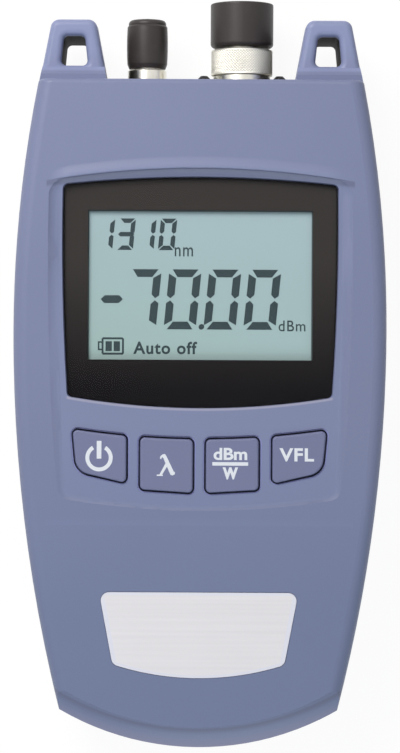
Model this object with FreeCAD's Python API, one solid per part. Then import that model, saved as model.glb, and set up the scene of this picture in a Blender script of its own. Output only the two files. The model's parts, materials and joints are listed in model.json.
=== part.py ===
import FreeCAD, Part
import math
import os

V = FreeCAD.Vector

# Handheld optical power meter, lying on its back.  Millimetres.
# X is across the meter, Y runs along it towards the two ports, Z rises from the flat back
# to the display.  The origin is on the back, on the centreline, at the widest place.

# --- housing outline ---------------------------------------------------------
HALF_WIDTH = 40.15        # half the width at the widest place, Y = 0
TOP_LENGTH = 54.0        # from the widest place to the port end
CORNER_LENGTH = 81.5     # from the widest place down to the bottom corners
UPPER_ARC = 282.0        # side curve above the widest place
LOWER_ARC = 334.0        # side curve below it
BOTTOM_SAG = 8.15         # the bottom end bulges this far past its corners
THICKNESS = 32.0
PARTING = 19.5           # where the black rear shell meets the front shell
DRAFT = math.radians(1.0)
REAR_DRAFT = math.radians(2.5)
WALL = 2.2
SINK_SHARE = 0.3         # bosses stop this share of the wall inside its outer face
SIDE_ROUND = 3.0
END_ROUND = 1.0
BACK_ROUND = 2.5

# --- front face ----------------------------------------------------------------
CROWN_RADIUS = 1385.0    # the face is gently arched along its length
CROWN_TOP = 9.5          # Y of the highest place
BEVEL_CENTRE = -24.7     # the scooped bevel at the bottom is turned about this Y
BEVEL_RADIUS = 60.4
BEVEL_DROP = 2.3
BEVEL_RUN = 5.4
BEVEL_HALFWAY = 0.45     # after this share of the run
BEVEL_HOLLOW = 0.64      # it has fallen by this share of the drop
BEVEL_LEAD = 1.5         # the cutter starts this far inside the crease
BEVEL_STEEP = 0.8
BEVEL_HALF_TURN = 60.0   # degrees either side of the centreline

# --- dish round the display and keys -----------------------------------------------
DISH_FLOOR = 31.0        # height of its flat floor
DISH_SKIN = 2.4
DISH_COVE = 3.0
DISH_HALF_TOP = 33.3
DISH_HALF_BOTTOM = 31.8
DISH_TOP = 32.6          # Y of its upper corners
DISH_TOP_SAG = 2.9
DISH_BOTTOM = 37.4
DISH_BOTTOM_SAG = 3.1
DISH_CORNER = 4.6

# --- display window ------------------------------------------------------------------
LENS_HALF_TOP = 29.35
LENS_HALF_BOTTOM = 28.25
LENS_TOP = 31.15
LENS_TOP_SAG = 1.65
LENS_BOTTOM = 14.15
LENS_BOTTOM_SAG = 2.4
LENS_SIDE_SAG = 0.5      # its sides bow out by this much
LENS_CORNER = 1.2
LENS_THICKNESS = 1.5
LENS_GAP = 0.15          # all round, in its recess
PRINT_THICKNESS = 0.1    # black print on the back of the lens
VIEW_HALF_WIDTH = 24.1   # clear area left in the print
VIEW_TOP = 25.8
VIEW_BOTTOM = 6.25

# --- display module ------------------------------------------------------------------
GLASS_MARGIN = 2.3       # the glass is this much larger than the clear area
GLASS_THICKNESS = 2.2
HOLDER_WALL = 1.2
HOLDER_STEP = 0.4
POST_RADIUS = 1.0        # legs of the backlight
POST_SET = 3.5
BACKLIGHT_THICKNESS = 2.6
STRIP_WIDTH = 2.0
MODULE_GAP = 0.2
FIT_GAP = 0.1
LEDGE_BACK = 1.6         # the opening behind the print stands back from the clear area
LENS_PROUD = 0.15

# --- keys ------------------------------------------------------------------------------
KEY_ARC = 180.3          # the upper edges of the keys lie on one arc
KEY_TOP = 23.25          # and this far below the widest place on the centreline
INNER_KEY_IN = 1.4       # inner keys, from the centreline
INNER_KEY_OUT = 12.65
INNER_KEY_LOW_IN = 34.65
INNER_KEY_LOW_OUT = 33.95
OUTER_KEY_IN = 15.6      # outer keys
OUTER_KEY_OUT = 27.15
OUTER_KEY_LEAN = 0.9
OUTER_KEY_LOW_IN = 32.65
OUTER_KEY_LOW_OUT = 30.15
KEY_CORNER = 1.0
KEY_BIG_CORNER = 3.6
KEY_GAP = 0.4
KEY_RIM = 0.25           # small step round each key's opening
KEY_PROUD = 0.7
KEY_EDGE = 0.45
FLANGE_WIDTH = 0.75
FLANGE_THICKNESS = 0.9
FLANGE_GAP = 0.15
STEM_RADIUS = 2.2
DOME_BASE_RADIUS = 3.9
DOME_SKIN = 0.5
DOME_HEIGHT = 2.8
MAT_THICKNESS = 0.8
MAT_HALF_WIDTH = 29.0
MAT_SET = 1.0            # inside the dish's lower edge
MAT_RISE = 4.0           # past the keys' upper edge

# --- blank name plate -------------------------------------------------------------------
PLATE_HALF_TOP = 21.3
PLATE_HALF_BOTTOM = 18.4
PLATE_SET = 10.0         # from the bottom corners up to its own
PLATE_LENGTH = 15.5
PLATE_SAG = 2.9
FLAT_SAG = 0.01          # its upper edge is all but straight
PLATE_CORNER = 1.8
PLATE_THICKNESS = 0.45
PLATE_GAP = 0.12
PLATE_PROUD = 0.08

# --- lanyard ears ------------------------------------------------------------------------
EAR_HEIGHT = 13.1        # above the port end of the housing
EAR_WIDTH = 14.6         # along the port end
EAR_INNER_LEAN = 0.19
EAR_ROOT = 4.0           # how far an ear runs down inside the housing outline
EAR_FACE = 26.6
EAR_BACK = 5.0
EAR_SET = 0.1            # an ear's outer face stands this far inside the housing's side
EAR_CORNER = 1.9
EAR_ROUND = 1.3          # at the front; the back is tighter
EAR_BACK_ROUND = 0.9
EAR_PLATE = 2.0          # thickness of the front shell's part of an ear at its slot
SHOULDER_LENGTH = 1.1    # flat shelf between an ear and the front face
SHOULDER_RISE = 1.3
SHOULDER_RAMP = 1.6
SLOT_START = 3.05        # above the port end
SLOT_LENGTH = 6.45
SLOT_WIDTH_LOW = 5.8     # at its lower end
SLOT_WIDTH_HIGH = 4.5
SLOT_SET_LOW = 4.6       # from the housing's corner in to the slot's outer side
SLOT_SET_HIGH = 5.2
SLOT_CORNER = 1.1
COLLAR_WALL = 1.1        # the rear shell lines the slot
COLLAR_GAP = 0.1

# --- ports -----------------------------------------------------------------------------
PORT_HEIGHT = 11.5       # port axes above the back
PANEL_DEPTH = 0.6        # flat panel let into the port end
PANEL_HALF_WIDTH = 19.3
PANEL_LOW = 4.0
PANEL_HIGH = 26.0
DETECTOR_X = 8.9
LASER_X = -11.9
FERRULE_RADIUS = 1.255   # sliding fit for a 2.5 mm ferrule
LIGHT_RADIUS = 0.8       # the light's way behind the ferrule
FLANGE_PLATE = 1.2
FLANGE_HALF_LENGTH = 10.2
FLANGE_HALF_HEIGHT = 5.4
FLANGE_CORNER = 2.0
FLANGE_SCREW_SPACING = 16.6
FLANGE_SCREW_RADIUS = 0.9
FLANGE_SCREW_HEAD = 1.35
FLANGE_SCREW_HEIGHT = 1.7
FLANGE_TAIL_RADIUS = 4.3
PANEL_BACKING = 1.55    # flat wall left behind the panel
SHOULDER_RADIUS = 6.3
SHOULDER_THICKNESS = 1.5
SPIGOT_RADIUS = 5.7
SPIGOT_LENGTH = 3.7
SPIGOT_BORE = 3.6
DIODE_RADIUS = 2.7
DIODE_LENGTH = 3.6
PIN_RADIUS = 0.25
PIN_LENGTH = 4.5
PIN_SPACING = 2.54
RING_RADIUS = 6.75
RING_LIP = 1.2
RING_GAP = 0.2
THREAD_GAP = 0.05
EDGE_BREAK = 0.25        # chamfer on turned edges
INSERT_FLANGE_RADIUS = 5.3
INSERT_FLANGE = 0.85
INSERT_TUBE_RADIUS = 4.1
INSERT_TUBE_LENGTH = 8.4
INSERT_TAIL_RADIUS = 3.2
INSERT_TAIL_LENGTH = 4.4
DETECTOR_CAP_RADIUS = 6.9
DETECTOR_CAP_LENGTH = 9.65
DETECTOR_CAP_END = 1.6
DETECTOR_CAP_LIP = 0.9   # rounding at its mouth
DETECTOR_CAP_EDGE = 0.35
CAP_FIT = 0.05
DETECTOR_CAP_STANDOFF = 0.5   # the caps stop just short of the metal below them
LASER_CAP_STANDOFF = 0.25
BARREL_RADIUS = 4.25
BARREL_LENGTH = 4.1
LASER_TUBE_RADIUS = 3.1
LASER_TUBE_LENGTH = 9.6
LASER_TAIL_RADIUS = 3.5
LASER_TAIL_LENGTH = 5.6
SLEEVE_RADIUS = 1.65
SLEEVE_LENGTH = 11.4
SLEEVE_SINK = 1.0
LASER_NUT_RADIUS = 5.2
LASER_NUT_THICKNESS = 1.8
LASER_MODULE_RADIUS = 4.2
LASER_MODULE_LENGTH = 17.0
LASER_CAP_RADIUS = 4.5
LASER_CAP_LENGTH = 10.95
LASER_CAP_END = 1.4
LASER_CAP_LIP = 0.5      # its mouth draws in by this much
LASER_CAP_WAIST = 0.12   # and it is this much slimmer at both ends of its barrel shape
LASER_CAP_RIDGE = 1.8    # from its end down to the ridge round it
LASER_CAP_STEP = 0.4
LASER_CAP_CROWN = 1.3    # width of its rounded shoulder
LASER_CAP_SAG = 0.25
PORT_HOLE_GAP = 0.1

# --- battery bay ----------------------------------------------------------------------
CELL_RADIUS = 7.1
CELL_LENGTH = 50.0
CELL_NUB_RADIUS = 2.6
CELL_NUB = 1.0
CELL_EDGE = 0.6
CONTACT_SHARE = 0.75     # the contacts' half size, of the cell's radius
CELL_COUNT = 3
CELL_PITCH = 14.8
CELL_LOW_END = -66.4     # Y of the lower end of the cells
SPRING_SPACE = 3.6
CONTACT_THICKNESS = 0.4
BAY_GAP = 0.3
BAY_WALL = 1.3
BAY_ROOF = 1.3
DOOR_THICKNESS = 2.0
DOOR_GAP = 0.15
RAIL_WIDTH = 0.9
RAIL_THICKNESS = 0.8
LEAF_TOUCH = 1.2         # half the height that touches the cell
GRIP_COUNT = 5
GRIP_START = 6.0
GRIP_PITCH = 2.4
GRIP_HALF = 9.0
GRIP_DEPTH = 0.5

# --- boards, bosses and screws ----------------------------------------------------------
BOARD_LIFT = 0.6         # board above the parting plane
BOARD_THICKNESS = 1.6
BOARD_GAP = 0.9
BOARD_TOP = 39.0
BOARD_BOTTOM = 46.0
CAN_SET = 5.0            # the amplifier's cover stands back from the board's end
CAN_LENGTH = 16.0
CAN_WIDTH = 18.0
CAN_HEIGHT = 4.5
CAN_SKIN = 0.3
CHIP_LENGTH = 10.0
CHIP_HEIGHT = 1.4
CHIP_SPACE = 4.0
BOARD_SCREW_SET = 7.55     # from the widest side in to the board's screws
BOARD_SCREW_YS = (31.0, -24.0)
SCREW_RADIUS = 1.1
SCREW_HEAD_RADIUS = 2.1
SCREW_HEAD = 1.3
BOSS_RADIUS = 2.5
CASE_SCREW_X = (29.0, 27.2)
CASE_SCREW_Y = (43.8, -65.5)
CASE_SCREW_RADIUS = 1.5
CASE_HEAD_RADIUS = 2.7
CASE_HEAD = 2.0
CASE_BOSS_RADIUS = 4.2
FRONT_BOSS_RADIUS = 4.0
CASE_HEAD_SINK = 4.0
SCREW_ENGAGEMENT = 6.0
SCREW_FIT = 0.04
HEAD_BEVEL = 0.35        # of the head's height
DRIVE_LENGTH = 1.1       # of the head's radius
DRIVE_WIDTH = 0.3
DRIVE_DEPTH = 0.5        # of the head's height
CASE_PILOT_SET = 0.1     # the pilot holes are this much under size
CASE_SHANK_SET = 0.14
CASE_SCREW_CLEAR = 0.2
BOARD_HOLE_CLEAR = 0.15
RIB_YS = (-47.0, -58.0)
RIB_THICKNESS = 1.2
RIB_LOW = 25.5

# --- worked out from the sizes above ----------------------------------------------------
PANEL = TOP_LENGTH - PANEL_DEPTH
BOARD_LOW = PARTING + BOARD_LIFT
BOARD_HIGH = BOARD_LOW + BOARD_THICKNESS
DISH_UNDER = DISH_FLOOR - DISH_SKIN
LENS_LOW = DISH_FLOOR - LENS_THICKNESS
PRINT_LOW = LENS_LOW - PRINT_THICKNESS
GLASS_HIGH = DISH_UNDER - MODULE_GAP
GLASS_LOW = GLASS_HIGH - GLASS_THICKNESS
CELL_AXIS = DOOR_THICKNESS + BAY_GAP + CELL_RADIUS
BAY_ROOF_LOW = CELL_AXIS + CELL_RADIUS + BAY_GAP
BAY_HALF = CELL_PITCH * (CELL_COUNT - 1) / 2 + CELL_RADIUS + BAY_GAP
BAY_BOTTOM = CELL_LOW_END - SPRING_SPACE - CONTACT_THICKNESS
BAY_TOP = CELL_LOW_END + CELL_LENGTH + CONTACT_THICKNESS + SPRING_SPACE
FAR = 200.0
UPRIGHT_LEAN = 1.0       # an edge that leans less than this counts as upright


# --- small helpers ----------------------------------------------------------------------
def line(a, b):
    return Part.makeLine(a, b)


def arc(a, through, b):
    return Part.Arc(a, through, b).toShape()


def box(x0, x1, y0, y1, z0, z1):
    return Part.makeBox(x1 - x0, y1 - y0, z1 - z0, V(x0, y0, z0))


def cylinder(radius, height, base, axis=V(0, 0, 1)):
    return Part.makeCylinder(radius, height, base, axis)


def along_y(radius, x, y0, y1):
    """A round bar on a port's axis."""
    return cylinder(radius, y1 - y0, V(x, y0, PORT_HEIGHT), V(0, 1, 0))


def prism(wire, z0, z1):
    face = Part.Face(wire)
    face.translate(V(0, 0, z0))
    return face.extrude(V(0, 0, z1 - z0))


def tapered(low_wire, high_wire, z0, z1):
    low = low_wire.copy()
    low.translate(V(0, 0, z0))
    high = high_wire.copy()
    high.translate(V(0, 0, z1))
    return Part.makeLoft([low, high], True, True)


def edges_where(shape, test):
    return [e for e in shape.Edges if test(e.BoundBox, e)]


def is_upright(bound):
    return max(bound.XLength, bound.YLength) < UPRIGHT_LEAN and bound.ZLength > PRINT_THICKNESS / 2


def rounded_prism(wire, z0, z1, radius):
    """A prism with all its upright edges rounded alike."""
    solid = prism(wire, z0, z1)
    return solid.makeFillet(radius, edges_where(solid, lambda b, e: is_upright(b)))


def mirrored(shape):
    return shape.mirror(V(0, 0, 0), V(1, 0, 0))


def fused(shapes):
    whole = shapes[0]
    for shape in shapes[1:]:
        whole = whole.fuse(shape)
    return whole.removeSplitter()


def cut(shape, tools):
    for tool in tools:
        shape = shape.cut(tool)
    return shape


# --- housing outline and crown ------------------------------------------------------------
def side_x(y, inset=0.0):
    """Half the width of the housing at y, with its outline drawn in by inset."""
    radius = UPPER_ARC if y > 0 else LOWER_ARC
    return HALF_WIDTH - radius + math.sqrt((radius - inset) ** 2 - y * y)


BOTTOM_HALF = side_x(-CORNER_LENGTH)
BOTTOM_ARC = (BOTTOM_HALF ** 2 + BOTTOM_SAG ** 2) / (2 * BOTTOM_SAG)
BOTTOM_CENTRE = BOTTOM_ARC - CORNER_LENGTH - BOTTOM_SAG


def bottom_corner(inset):
    """Where the inset side curve crosses the inset bottom curve."""
    side_radius = LOWER_ARC - inset
    end_radius = BOTTOM_ARC - inset
    side_centre = V(HALF_WIDTH - LOWER_ARC, 0, 0)
    end_centre = V(0, BOTTOM_CENTRE, 0)
    between = end_centre - side_centre
    gap = between.Length
    along = (side_radius ** 2 - end_radius ** 2 + gap ** 2) / (2 * gap)
    across = math.sqrt(side_radius ** 2 - along ** 2)
    unit = between / gap
    return side_centre + unit * along + V(-unit.y, unit.x, 0) * -across


def outline(inset=0.0):
    top = TOP_LENGTH - inset
    low = bottom_corner(inset)
    widest = V(HALF_WIDTH - inset, 0, 0)
    right_top = V(side_x(top, inset), top, 0)
    upper_mid = V(side_x(top / 2, inset), top / 2, 0)
    lower_mid = V(side_x(low.y / 2, inset), low.y / 2, 0)
    end = V(0, BOTTOM_CENTRE - BOTTOM_ARC + inset, 0)
    flip = lambda p: V(-p.x, p.y, 0)
    return Part.Wire([
        line(flip(right_top), right_top),
        arc(right_top, upper_mid, widest),
        arc(widest, lower_mid, low),
        arc(low, end, flip(low)),
        arc(flip(low), flip(lower_mid), flip(widest)),
        arc(flip(widest), flip(upper_mid), flip(right_top)),
    ])


def inset_at(z, extra=0.0):
    """How far the walls have leaned in at height z."""
    if z >= PARTING:
        return (z - PARTING) * math.tan(DRAFT) + extra
    return (PARTING - z) * math.tan(REAR_DRAFT) + extra


def drafted(z0, z1, extra=0.0):
    return tapered(outline(inset_at(z0, extra)), outline(inset_at(z1, extra)), z0, z1)


def under_crown(drop=0.0):
    """Everything below the arched front face, or below it by drop."""
    radius = CROWN_RADIUS - drop
    centre = V(-FAR / 2, CROWN_TOP, THICKNESS - CROWN_RADIUS)
    return cylinder(radius, FAR, centre, V(1, 0, 0))


def crown_z(y):
    return THICKNESS - CROWN_RADIUS + math.sqrt(CROWN_RADIUS ** 2 - (y - CROWN_TOP) ** 2)


# --- ears -------------------------------------------------------------------------------
def ear_corner(inset=0.0):
    """Where an ear's outer side meets the port end of the housing."""
    return side_x(TOP_LENGTH, inset + EAR_SET)


def ear_outline(inset=0.0):
    """Right ear: its outer edge carries the housing's side straight on."""
    corner = V(ear_corner(inset), TOP_LENGTH, 0)
    lean = TOP_LENGTH / math.sqrt(UPPER_ARC ** 2 - TOP_LENGTH ** 2)
    rise = EAR_HEIGHT - inset
    inner = ear_corner() - EAR_WIDTH + inset
    return Part.makePolygon([
        V(inner, TOP_LENGTH - EAR_ROOT, 0), V(inner, TOP_LENGTH, 0),
        V(inner + EAR_INNER_LEAN * rise, TOP_LENGTH + rise, 0),
        V(corner.x - lean * rise, TOP_LENGTH + rise, 0),
        V(corner.x + lean * EAR_ROOT, TOP_LENGTH - EAR_ROOT, 0),
        V(inner, TOP_LENGTH - EAR_ROOT, 0)])


def slot_outline(grow=0.0):
    low = TOP_LENGTH + SLOT_START - grow
    high = TOP_LENGTH + SLOT_START + SLOT_LENGTH + grow
    out_low = ear_corner() - SLOT_SET_LOW + grow
    out_high = ear_corner() - SLOT_SET_HIGH + grow
    in_low = out_low - SLOT_WIDTH_LOW - 2 * grow
    in_high = out_high - SLOT_WIDTH_HIGH - 2 * grow
    return Part.makePolygon([V(in_low, low, 0), V(out_low, low, 0), V(out_high, high, 0),
                             V(in_high, high, 0), V(in_low, low, 0)])


def slot_prism(z0, z1, grow=0.0):
    return rounded_prism(slot_outline(grow), z0, z1, SLOT_CORNER + grow)


def shoulder():
    """The shelf and ramp that step up from the ear's face to the housing."""
    shelf_end = TOP_LENGTH + SHOULDER_LENGTH
    profile = Part.makePolygon([
        V(0, TOP_LENGTH - EAR_ROOT, EAR_FACE - 1), V(0, shelf_end + SHOULDER_RAMP, EAR_FACE - 1),
        V(0, shelf_end + SHOULDER_RAMP, EAR_FACE), V(0, shelf_end, EAR_FACE + SHOULDER_RISE),
        V(0, TOP_LENGTH - EAR_ROOT, EAR_FACE + SHOULDER_RISE),
        V(0, TOP_LENGTH - EAR_ROOT, EAR_FACE - 1)])
    return Part.Face(profile).extrude(V(FAR / 2, 0, 0))


def ear(z0, z1):
    """Right ear between two heights, its outer corners rounded and its slot cut."""
    body = tapered(ear_outline(inset_at(z0)), ear_outline(inset_at(z1)), z0, z1)
    corners = edges_where(body, lambda b, e: b.YMin > TOP_LENGTH + EAR_HEIGHT - 2 and b.ZLength > 1)
    body = body.makeFillet(EAR_CORNER, corners)
    return body.cut(slot_prism(z0 - 1, z1 + 1))


def round_ear_face(body, z, radius):
    """Round the rim and the slot of the ear where they meet its flat face at height z."""
    def on_face(b, e):
        flat = b.ZLength < 0.01 and abs(b.ZMin - z) < 0.01
        return flat and b.YMax > TOP_LENGTH + 0.5 and b.YMin > TOP_LENGTH - 0.1
    rim = edges_where(body, on_face)
    return body.makeFillet(radius, rim)


def front_ear():
    """Open underneath, round its slot, for the rear shell's collar."""
    body = ear(PARTING, EAR_FACE)
    body = round_ear_face(body, EAR_FACE, EAR_ROUND)
    body = body.cut(slot_prism(PARTING - 1, EAR_FACE - EAR_PLATE, COLLAR_WALL + COLLAR_GAP))
    grown = ear(EAR_FACE - 1, EAR_FACE + SHOULDER_RISE)
    step = shoulder().common(grown)
    return body.fuse(step).removeSplitter()


def rear_ear():
    """Carries the collar that lines the slot up to the front shell's part of the ear."""
    top = EAR_FACE - EAR_PLATE - COLLAR_GAP
    collar = slot_prism(PARTING - 1, top, COLLAR_WALL).cut(slot_prism(PARTING - 2, top + 1))
    back = round_ear_face(ear(EAR_BACK, PARTING), EAR_BACK, EAR_BACK_ROUND)
    return back.fuse(collar).removeSplitter()


# --- outlines on the front face --------------------------------------------------------------
def shield(half_top, half_bottom, top, bottom, top_sag, bottom_sag, side_sag, grow=0.0):
    """Converging sides between two outward-bowed ends; the sides may bow out too."""
    y1 = top + grow
    y0 = bottom - grow
    x1 = half_top + grow
    x0 = half_bottom + grow
    waist = V((x0 + x1) / 2 + side_sag, (y0 + y1) / 2, 0)
    return Part.Wire([
        arc(V(-x1, y1, 0), V(0, y1 + top_sag, 0), V(x1, y1, 0)),
        arc(V(x1, y1, 0), waist, V(x0, y0, 0)) if side_sag else line(V(x1, y1, 0), V(x0, y0, 0)),
        arc(V(x0, y0, 0), V(0, y0 - bottom_sag, 0), V(-x0, y0, 0)),
        arc(V(-x0, y0, 0), V(-waist.x, waist.y, 0), V(-x1, y1, 0)) if side_sag
        else line(V(-x0, y0, 0), V(-x1, y1, 0)),
    ])


def lens_outline(grow=0.0):
    return shield(LENS_HALF_TOP, LENS_HALF_BOTTOM, LENS_TOP, -LENS_BOTTOM,
                  LENS_TOP_SAG, LENS_BOTTOM_SAG, LENS_SIDE_SAG, grow)


def plate_outline(grow=0.0):
    low = PLATE_SET - CORNER_LENGTH
    return shield(PLATE_HALF_TOP, PLATE_HALF_BOTTOM, low + PLATE_LENGTH, low,
                  FLAT_SAG, PLATE_SAG, 0, grow)


def key_arc_y(x):
    return KEY_ARC - KEY_TOP - math.sqrt(KEY_ARC ** 2 - x * x)


def key_outline(x_in, x_out, lean, low_in, low_out, grow):
    """A key on the right-hand side of the centreline."""
    a = x_in - grow
    b = x_out + grow
    mid = (a + b) / 2
    top_in = V(a, key_arc_y(a) + grow, 0)
    top_out = V(b, key_arc_y(b) + grow, 0)
    low_right = V(b - lean, -low_out - grow, 0)
    low_left = V(a, -low_in - grow, 0)
    return Part.Wire([
        arc(top_in, V(mid, key_arc_y(mid) + grow, 0), top_out),
        line(top_out, low_right),
        line(low_right, low_left),
        line(low_left, top_in),
    ])


def key_prism(outer, z0, z1, grow=0.0):
    """Inner or outer right-hand key as a prism with its own corner radii."""
    if outer:
        wire = key_outline(OUTER_KEY_IN, OUTER_KEY_OUT, OUTER_KEY_LEAN,
                           OUTER_KEY_LOW_IN, OUTER_KEY_LOW_OUT, grow)
    else:
        wire = key_outline(INNER_KEY_IN, INNER_KEY_OUT, 0.0,
                           INNER_KEY_LOW_IN, INNER_KEY_LOW_OUT, grow)
    solid = prism(wire, z0, z1)
    big = lambda b, e: is_upright(b) and outer and b.XMin > (OUTER_KEY_IN + OUTER_KEY_OUT) / 2 \
        and b.YMax < -(KEY_TOP + OUTER_KEY_LOW_OUT) / 2
    small = lambda b, e: is_upright(b) and not big(b, e)
    solid = solid.makeFillet(KEY_CORNER + grow, edges_where(solid, small))
    corners = edges_where(solid, big)
    return solid.makeFillet(KEY_BIG_CORNER + grow, corners) if corners else solid


def key_centre(outer):
    if outer:
        return V((OUTER_KEY_IN + OUTER_KEY_OUT) / 2,
                 -(KEY_TOP + (OUTER_KEY_LOW_IN + OUTER_KEY_LOW_OUT) / 2) / 2, 0)
    return V((INNER_KEY_IN + INNER_KEY_OUT) / 2, -(KEY_TOP + INNER_KEY_LOW_OUT) / 2, 0)


# --- screws and bosses ------------------------------------------------------------------------
def case_screw_places():
    for x, y in zip(CASE_SCREW_X, CASE_SCREW_Y):
        yield V(x, y, 0)
        yield V(-x, y, 0)


def board_screw_places():
    for y in BOARD_SCREW_YS:
        yield V(HALF_WIDTH - BOARD_SCREW_SET, y, 0)
        yield V(BOARD_SCREW_SET - HALF_WIDTH, y, 0)


def pan_screw(radius, length, head_radius, head, base, axis):
    """A pan-head screw: base is the head's bearing face, axis points along the shank."""
    shank = cylinder(radius, length, base, axis)
    cap = cylinder(head_radius, head, base - axis * head, axis)
    rim = edges_where(cap, lambda b, e: e.Length > 6 * head_radius
                      and abs((e.CenterOfMass - base).dot(axis) + head) < 0.01)
    cap = cap.makeChamfer(head * HEAD_BEVEL, rim)
    drive = Part.makeBox(head_radius * DRIVE_LENGTH, head_radius * DRIVE_WIDTH, head, V(0, 0, 0))
    cross = []
    for turn in (0, 90):
        blade = drive.copy()
        blade.translate(V(-head_radius * DRIVE_LENGTH / 2, -head_radius * DRIVE_WIDTH / 2,
                          -head * (2 - DRIVE_DEPTH)))
        blade.rotate(V(0, 0, 0), V(0, 0, 1), turn)
        cross.append(blade)
    slots = cross[0].fuse(cross[1])
    slots.Placement = FreeCAD.Placement(base, FreeCAD.Rotation(V(0, 0, 1), axis)) * slots.Placement
    return shank.fuse(cap).removeSplitter().cut(slots)


# --- front shell ---------------------------------------------------------------------------------
def bevel_cutter():
    """A concave ring that scoops the bottom edge, steep at its crease and flatter outside."""
    centre_z = crown_z(BEVEL_CENTRE - BEVEL_RADIUS)
    start = V(BEVEL_RADIUS - BEVEL_LEAD, BEVEL_CENTRE, centre_z + BEVEL_LEAD * BEVEL_STEEP)
    crease = V(BEVEL_RADIUS, BEVEL_CENTRE, centre_z)
    middle = V(BEVEL_RADIUS + BEVEL_RUN * BEVEL_HALFWAY, BEVEL_CENTRE,
               centre_z - BEVEL_DROP * BEVEL_HOLLOW)
    end = V(BEVEL_RADIUS + BEVEL_RUN, BEVEL_CENTRE, centre_z - BEVEL_DROP)
    far = V(FAR / 2, BEVEL_CENTRE, centre_z - BEVEL_DROP)
    top_far = V(FAR / 2, BEVEL_CENTRE, THICKNESS + 3)
    top_near = V(start.x, BEVEL_CENTRE, THICKNESS + 3)
    profile = Part.Wire([line(top_near, start), line(start, crease), arc(crease, middle, end),
                         line(end, far), line(far, top_far), line(top_far, top_near)])
    ring = Part.Face(profile).revolve(V(0, BEVEL_CENTRE, 0), V(0, 0, 1), 2 * BEVEL_HALF_TURN)
    ring.rotate(V(0, BEVEL_CENTRE, 0), V(0, 0, 1), -90 - BEVEL_HALF_TURN)
    return ring


def front_body():
    """The moulded outer form: drafted sides, arched face, rounded rim and scooped bevel."""
    body = drafted(PARTING, THICKNESS + 1.0).common(under_crown())
    on_side = lambda b, e: (b.ZMin > (PARTING + THICKNESS) / 2 and b.YLength > TOP_LENGTH / 2
                            and min(abs(b.XMin), abs(b.XMax)) > HALF_WIDTH / 2)
    body = body.makeFillet(SIDE_ROUND, edges_where(body, on_side))
    at_end = lambda b, e: b.YMin > TOP_LENGTH - 0.6 and b.YLength < 0.6
    body = body.makeFillet(END_ROUND, edges_where(body, lambda b, e: at_end(b, e)
                                                  and b.ZMax > PARTING + 0.1))
    return body.cut(bevel_cutter())


def dish_cutter():
    """Flat-floored dish whose sides curve up into the face."""
    wire = shield(DISH_HALF_TOP, DISH_HALF_BOTTOM, DISH_TOP, -DISH_BOTTOM,
                  DISH_TOP_SAG, DISH_BOTTOM_SAG, LENS_SIDE_SAG)
    solid = rounded_prism(wire, DISH_FLOOR, DISH_FLOOR + 2 * DISH_COVE, DISH_CORNER)
    floor = edges_where(solid, lambda b, e: b.ZMax < DISH_FLOOR + 0.01)
    return solid.makeFillet(DISH_COVE, floor)


def front_cavity():
    """The room inside the front shell, with a thicker skin under the dish."""
    room = drafted(PARTING - 0.01, THICKNESS + 1.0, WALL).common(under_crown(WALL))
    under_dish = box(-FAR, FAR, -DISH_BOTTOM - 2 * DISH_COVE, DISH_TOP + 2 * DISH_COVE, DISH_UNDER, FAR)
    return room.cut(under_dish)


def boss(place, radius, z0, z1, hole):
    post = cylinder(radius, z1 - z0, V(place.x, place.y, z0))
    bore = cylinder(hole, z1 - z0, V(place.x, place.y, z0))
    return post, bore


def panel_recess(z0, z1):
    low = max(z0, PANEL_LOW)
    high = min(z1, PANEL_HIGH)
    return box(-PANEL_HALF_WIDTH, PANEL_HALF_WIDTH, PANEL, FAR, low, high)


def front_shell():
    body = front_body().fuse(front_ear()).fuse(mirrored(front_ear()))
    body = body.cut(front_cavity())
    inner = drafted(PARTING, THICKNESS, WALL * 0.5).common(under_crown(WALL * 0.5))
    bores = []
    for place in case_screw_places():
        post, bore = boss(place, FRONT_BOSS_RADIUS, PARTING, THICKNESS, CASE_SCREW_RADIUS - CASE_PILOT_SET)
        body = body.fuse(post.common(inner))
        bores.append(bore.common(box(-FAR, FAR, -FAR, FAR, PARTING - 1,
                                     PARTING + SCREW_ENGAGEMENT + 0.5)))
    for place in board_screw_places():
        post, bore = boss(place, BOSS_RADIUS, BOARD_HIGH, THICKNESS, SCREW_RADIUS + SCREW_FIT)
        body = body.fuse(post.common(inner))
        bores.append(bore.common(box(-FAR, FAR, -FAR, FAR, BOARD_HIGH - 1,
                                     BOARD_HIGH + SCREW_ENGAGEMENT - 1.5)))
    for y in RIB_YS:
        rib = box(-FAR, FAR, y - RIB_THICKNESS / 2, y + RIB_THICKNESS / 2, RIB_LOW, THICKNESS)
        body = body.fuse(rib.common(inner))
    body = cut(body, bores)
    body = body.cut(dish_cutter())
    body = body.cut(rounded_prism(lens_outline(LENS_GAP), PRINT_LOW, FAR, LENS_CORNER + LENS_GAP))
    view = box(-VIEW_HALF_WIDTH - LEDGE_BACK, VIEW_HALF_WIDTH + LEDGE_BACK,
               -VIEW_BOTTOM - LEDGE_BACK, VIEW_TOP + LEDGE_BACK, PARTING, FAR)
    body = body.cut(view)
    for outer in (False, True):
        opening = key_prism(outer, PARTING, FAR, KEY_GAP)
        rebate = key_prism(outer, DISH_FLOOR - KEY_RIM, FAR, KEY_GAP + KEY_RIM)
        body = cut(body, [opening, mirrored(opening), rebate, mirrored(rebate)])
    plate = rounded_prism(plate_outline(PLATE_GAP), PARTING, FAR, PLATE_CORNER + PLATE_GAP)
    body = body.cut(plate.cut(under_crown(PLATE_THICKNESS - PLATE_PROUD)))
    return body.cut(panel_recess(PARTING, FAR)).removeSplitter()


# --- rear shell, door and battery bay ---------------------------------------------------------------
def rear_body():
    body = drafted(PARTING, 0.0)
    rim = edges_where(body, lambda b, e: b.ZMax < 0.01)
    return body.makeFillet(BACK_ROUND, rim)


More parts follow.
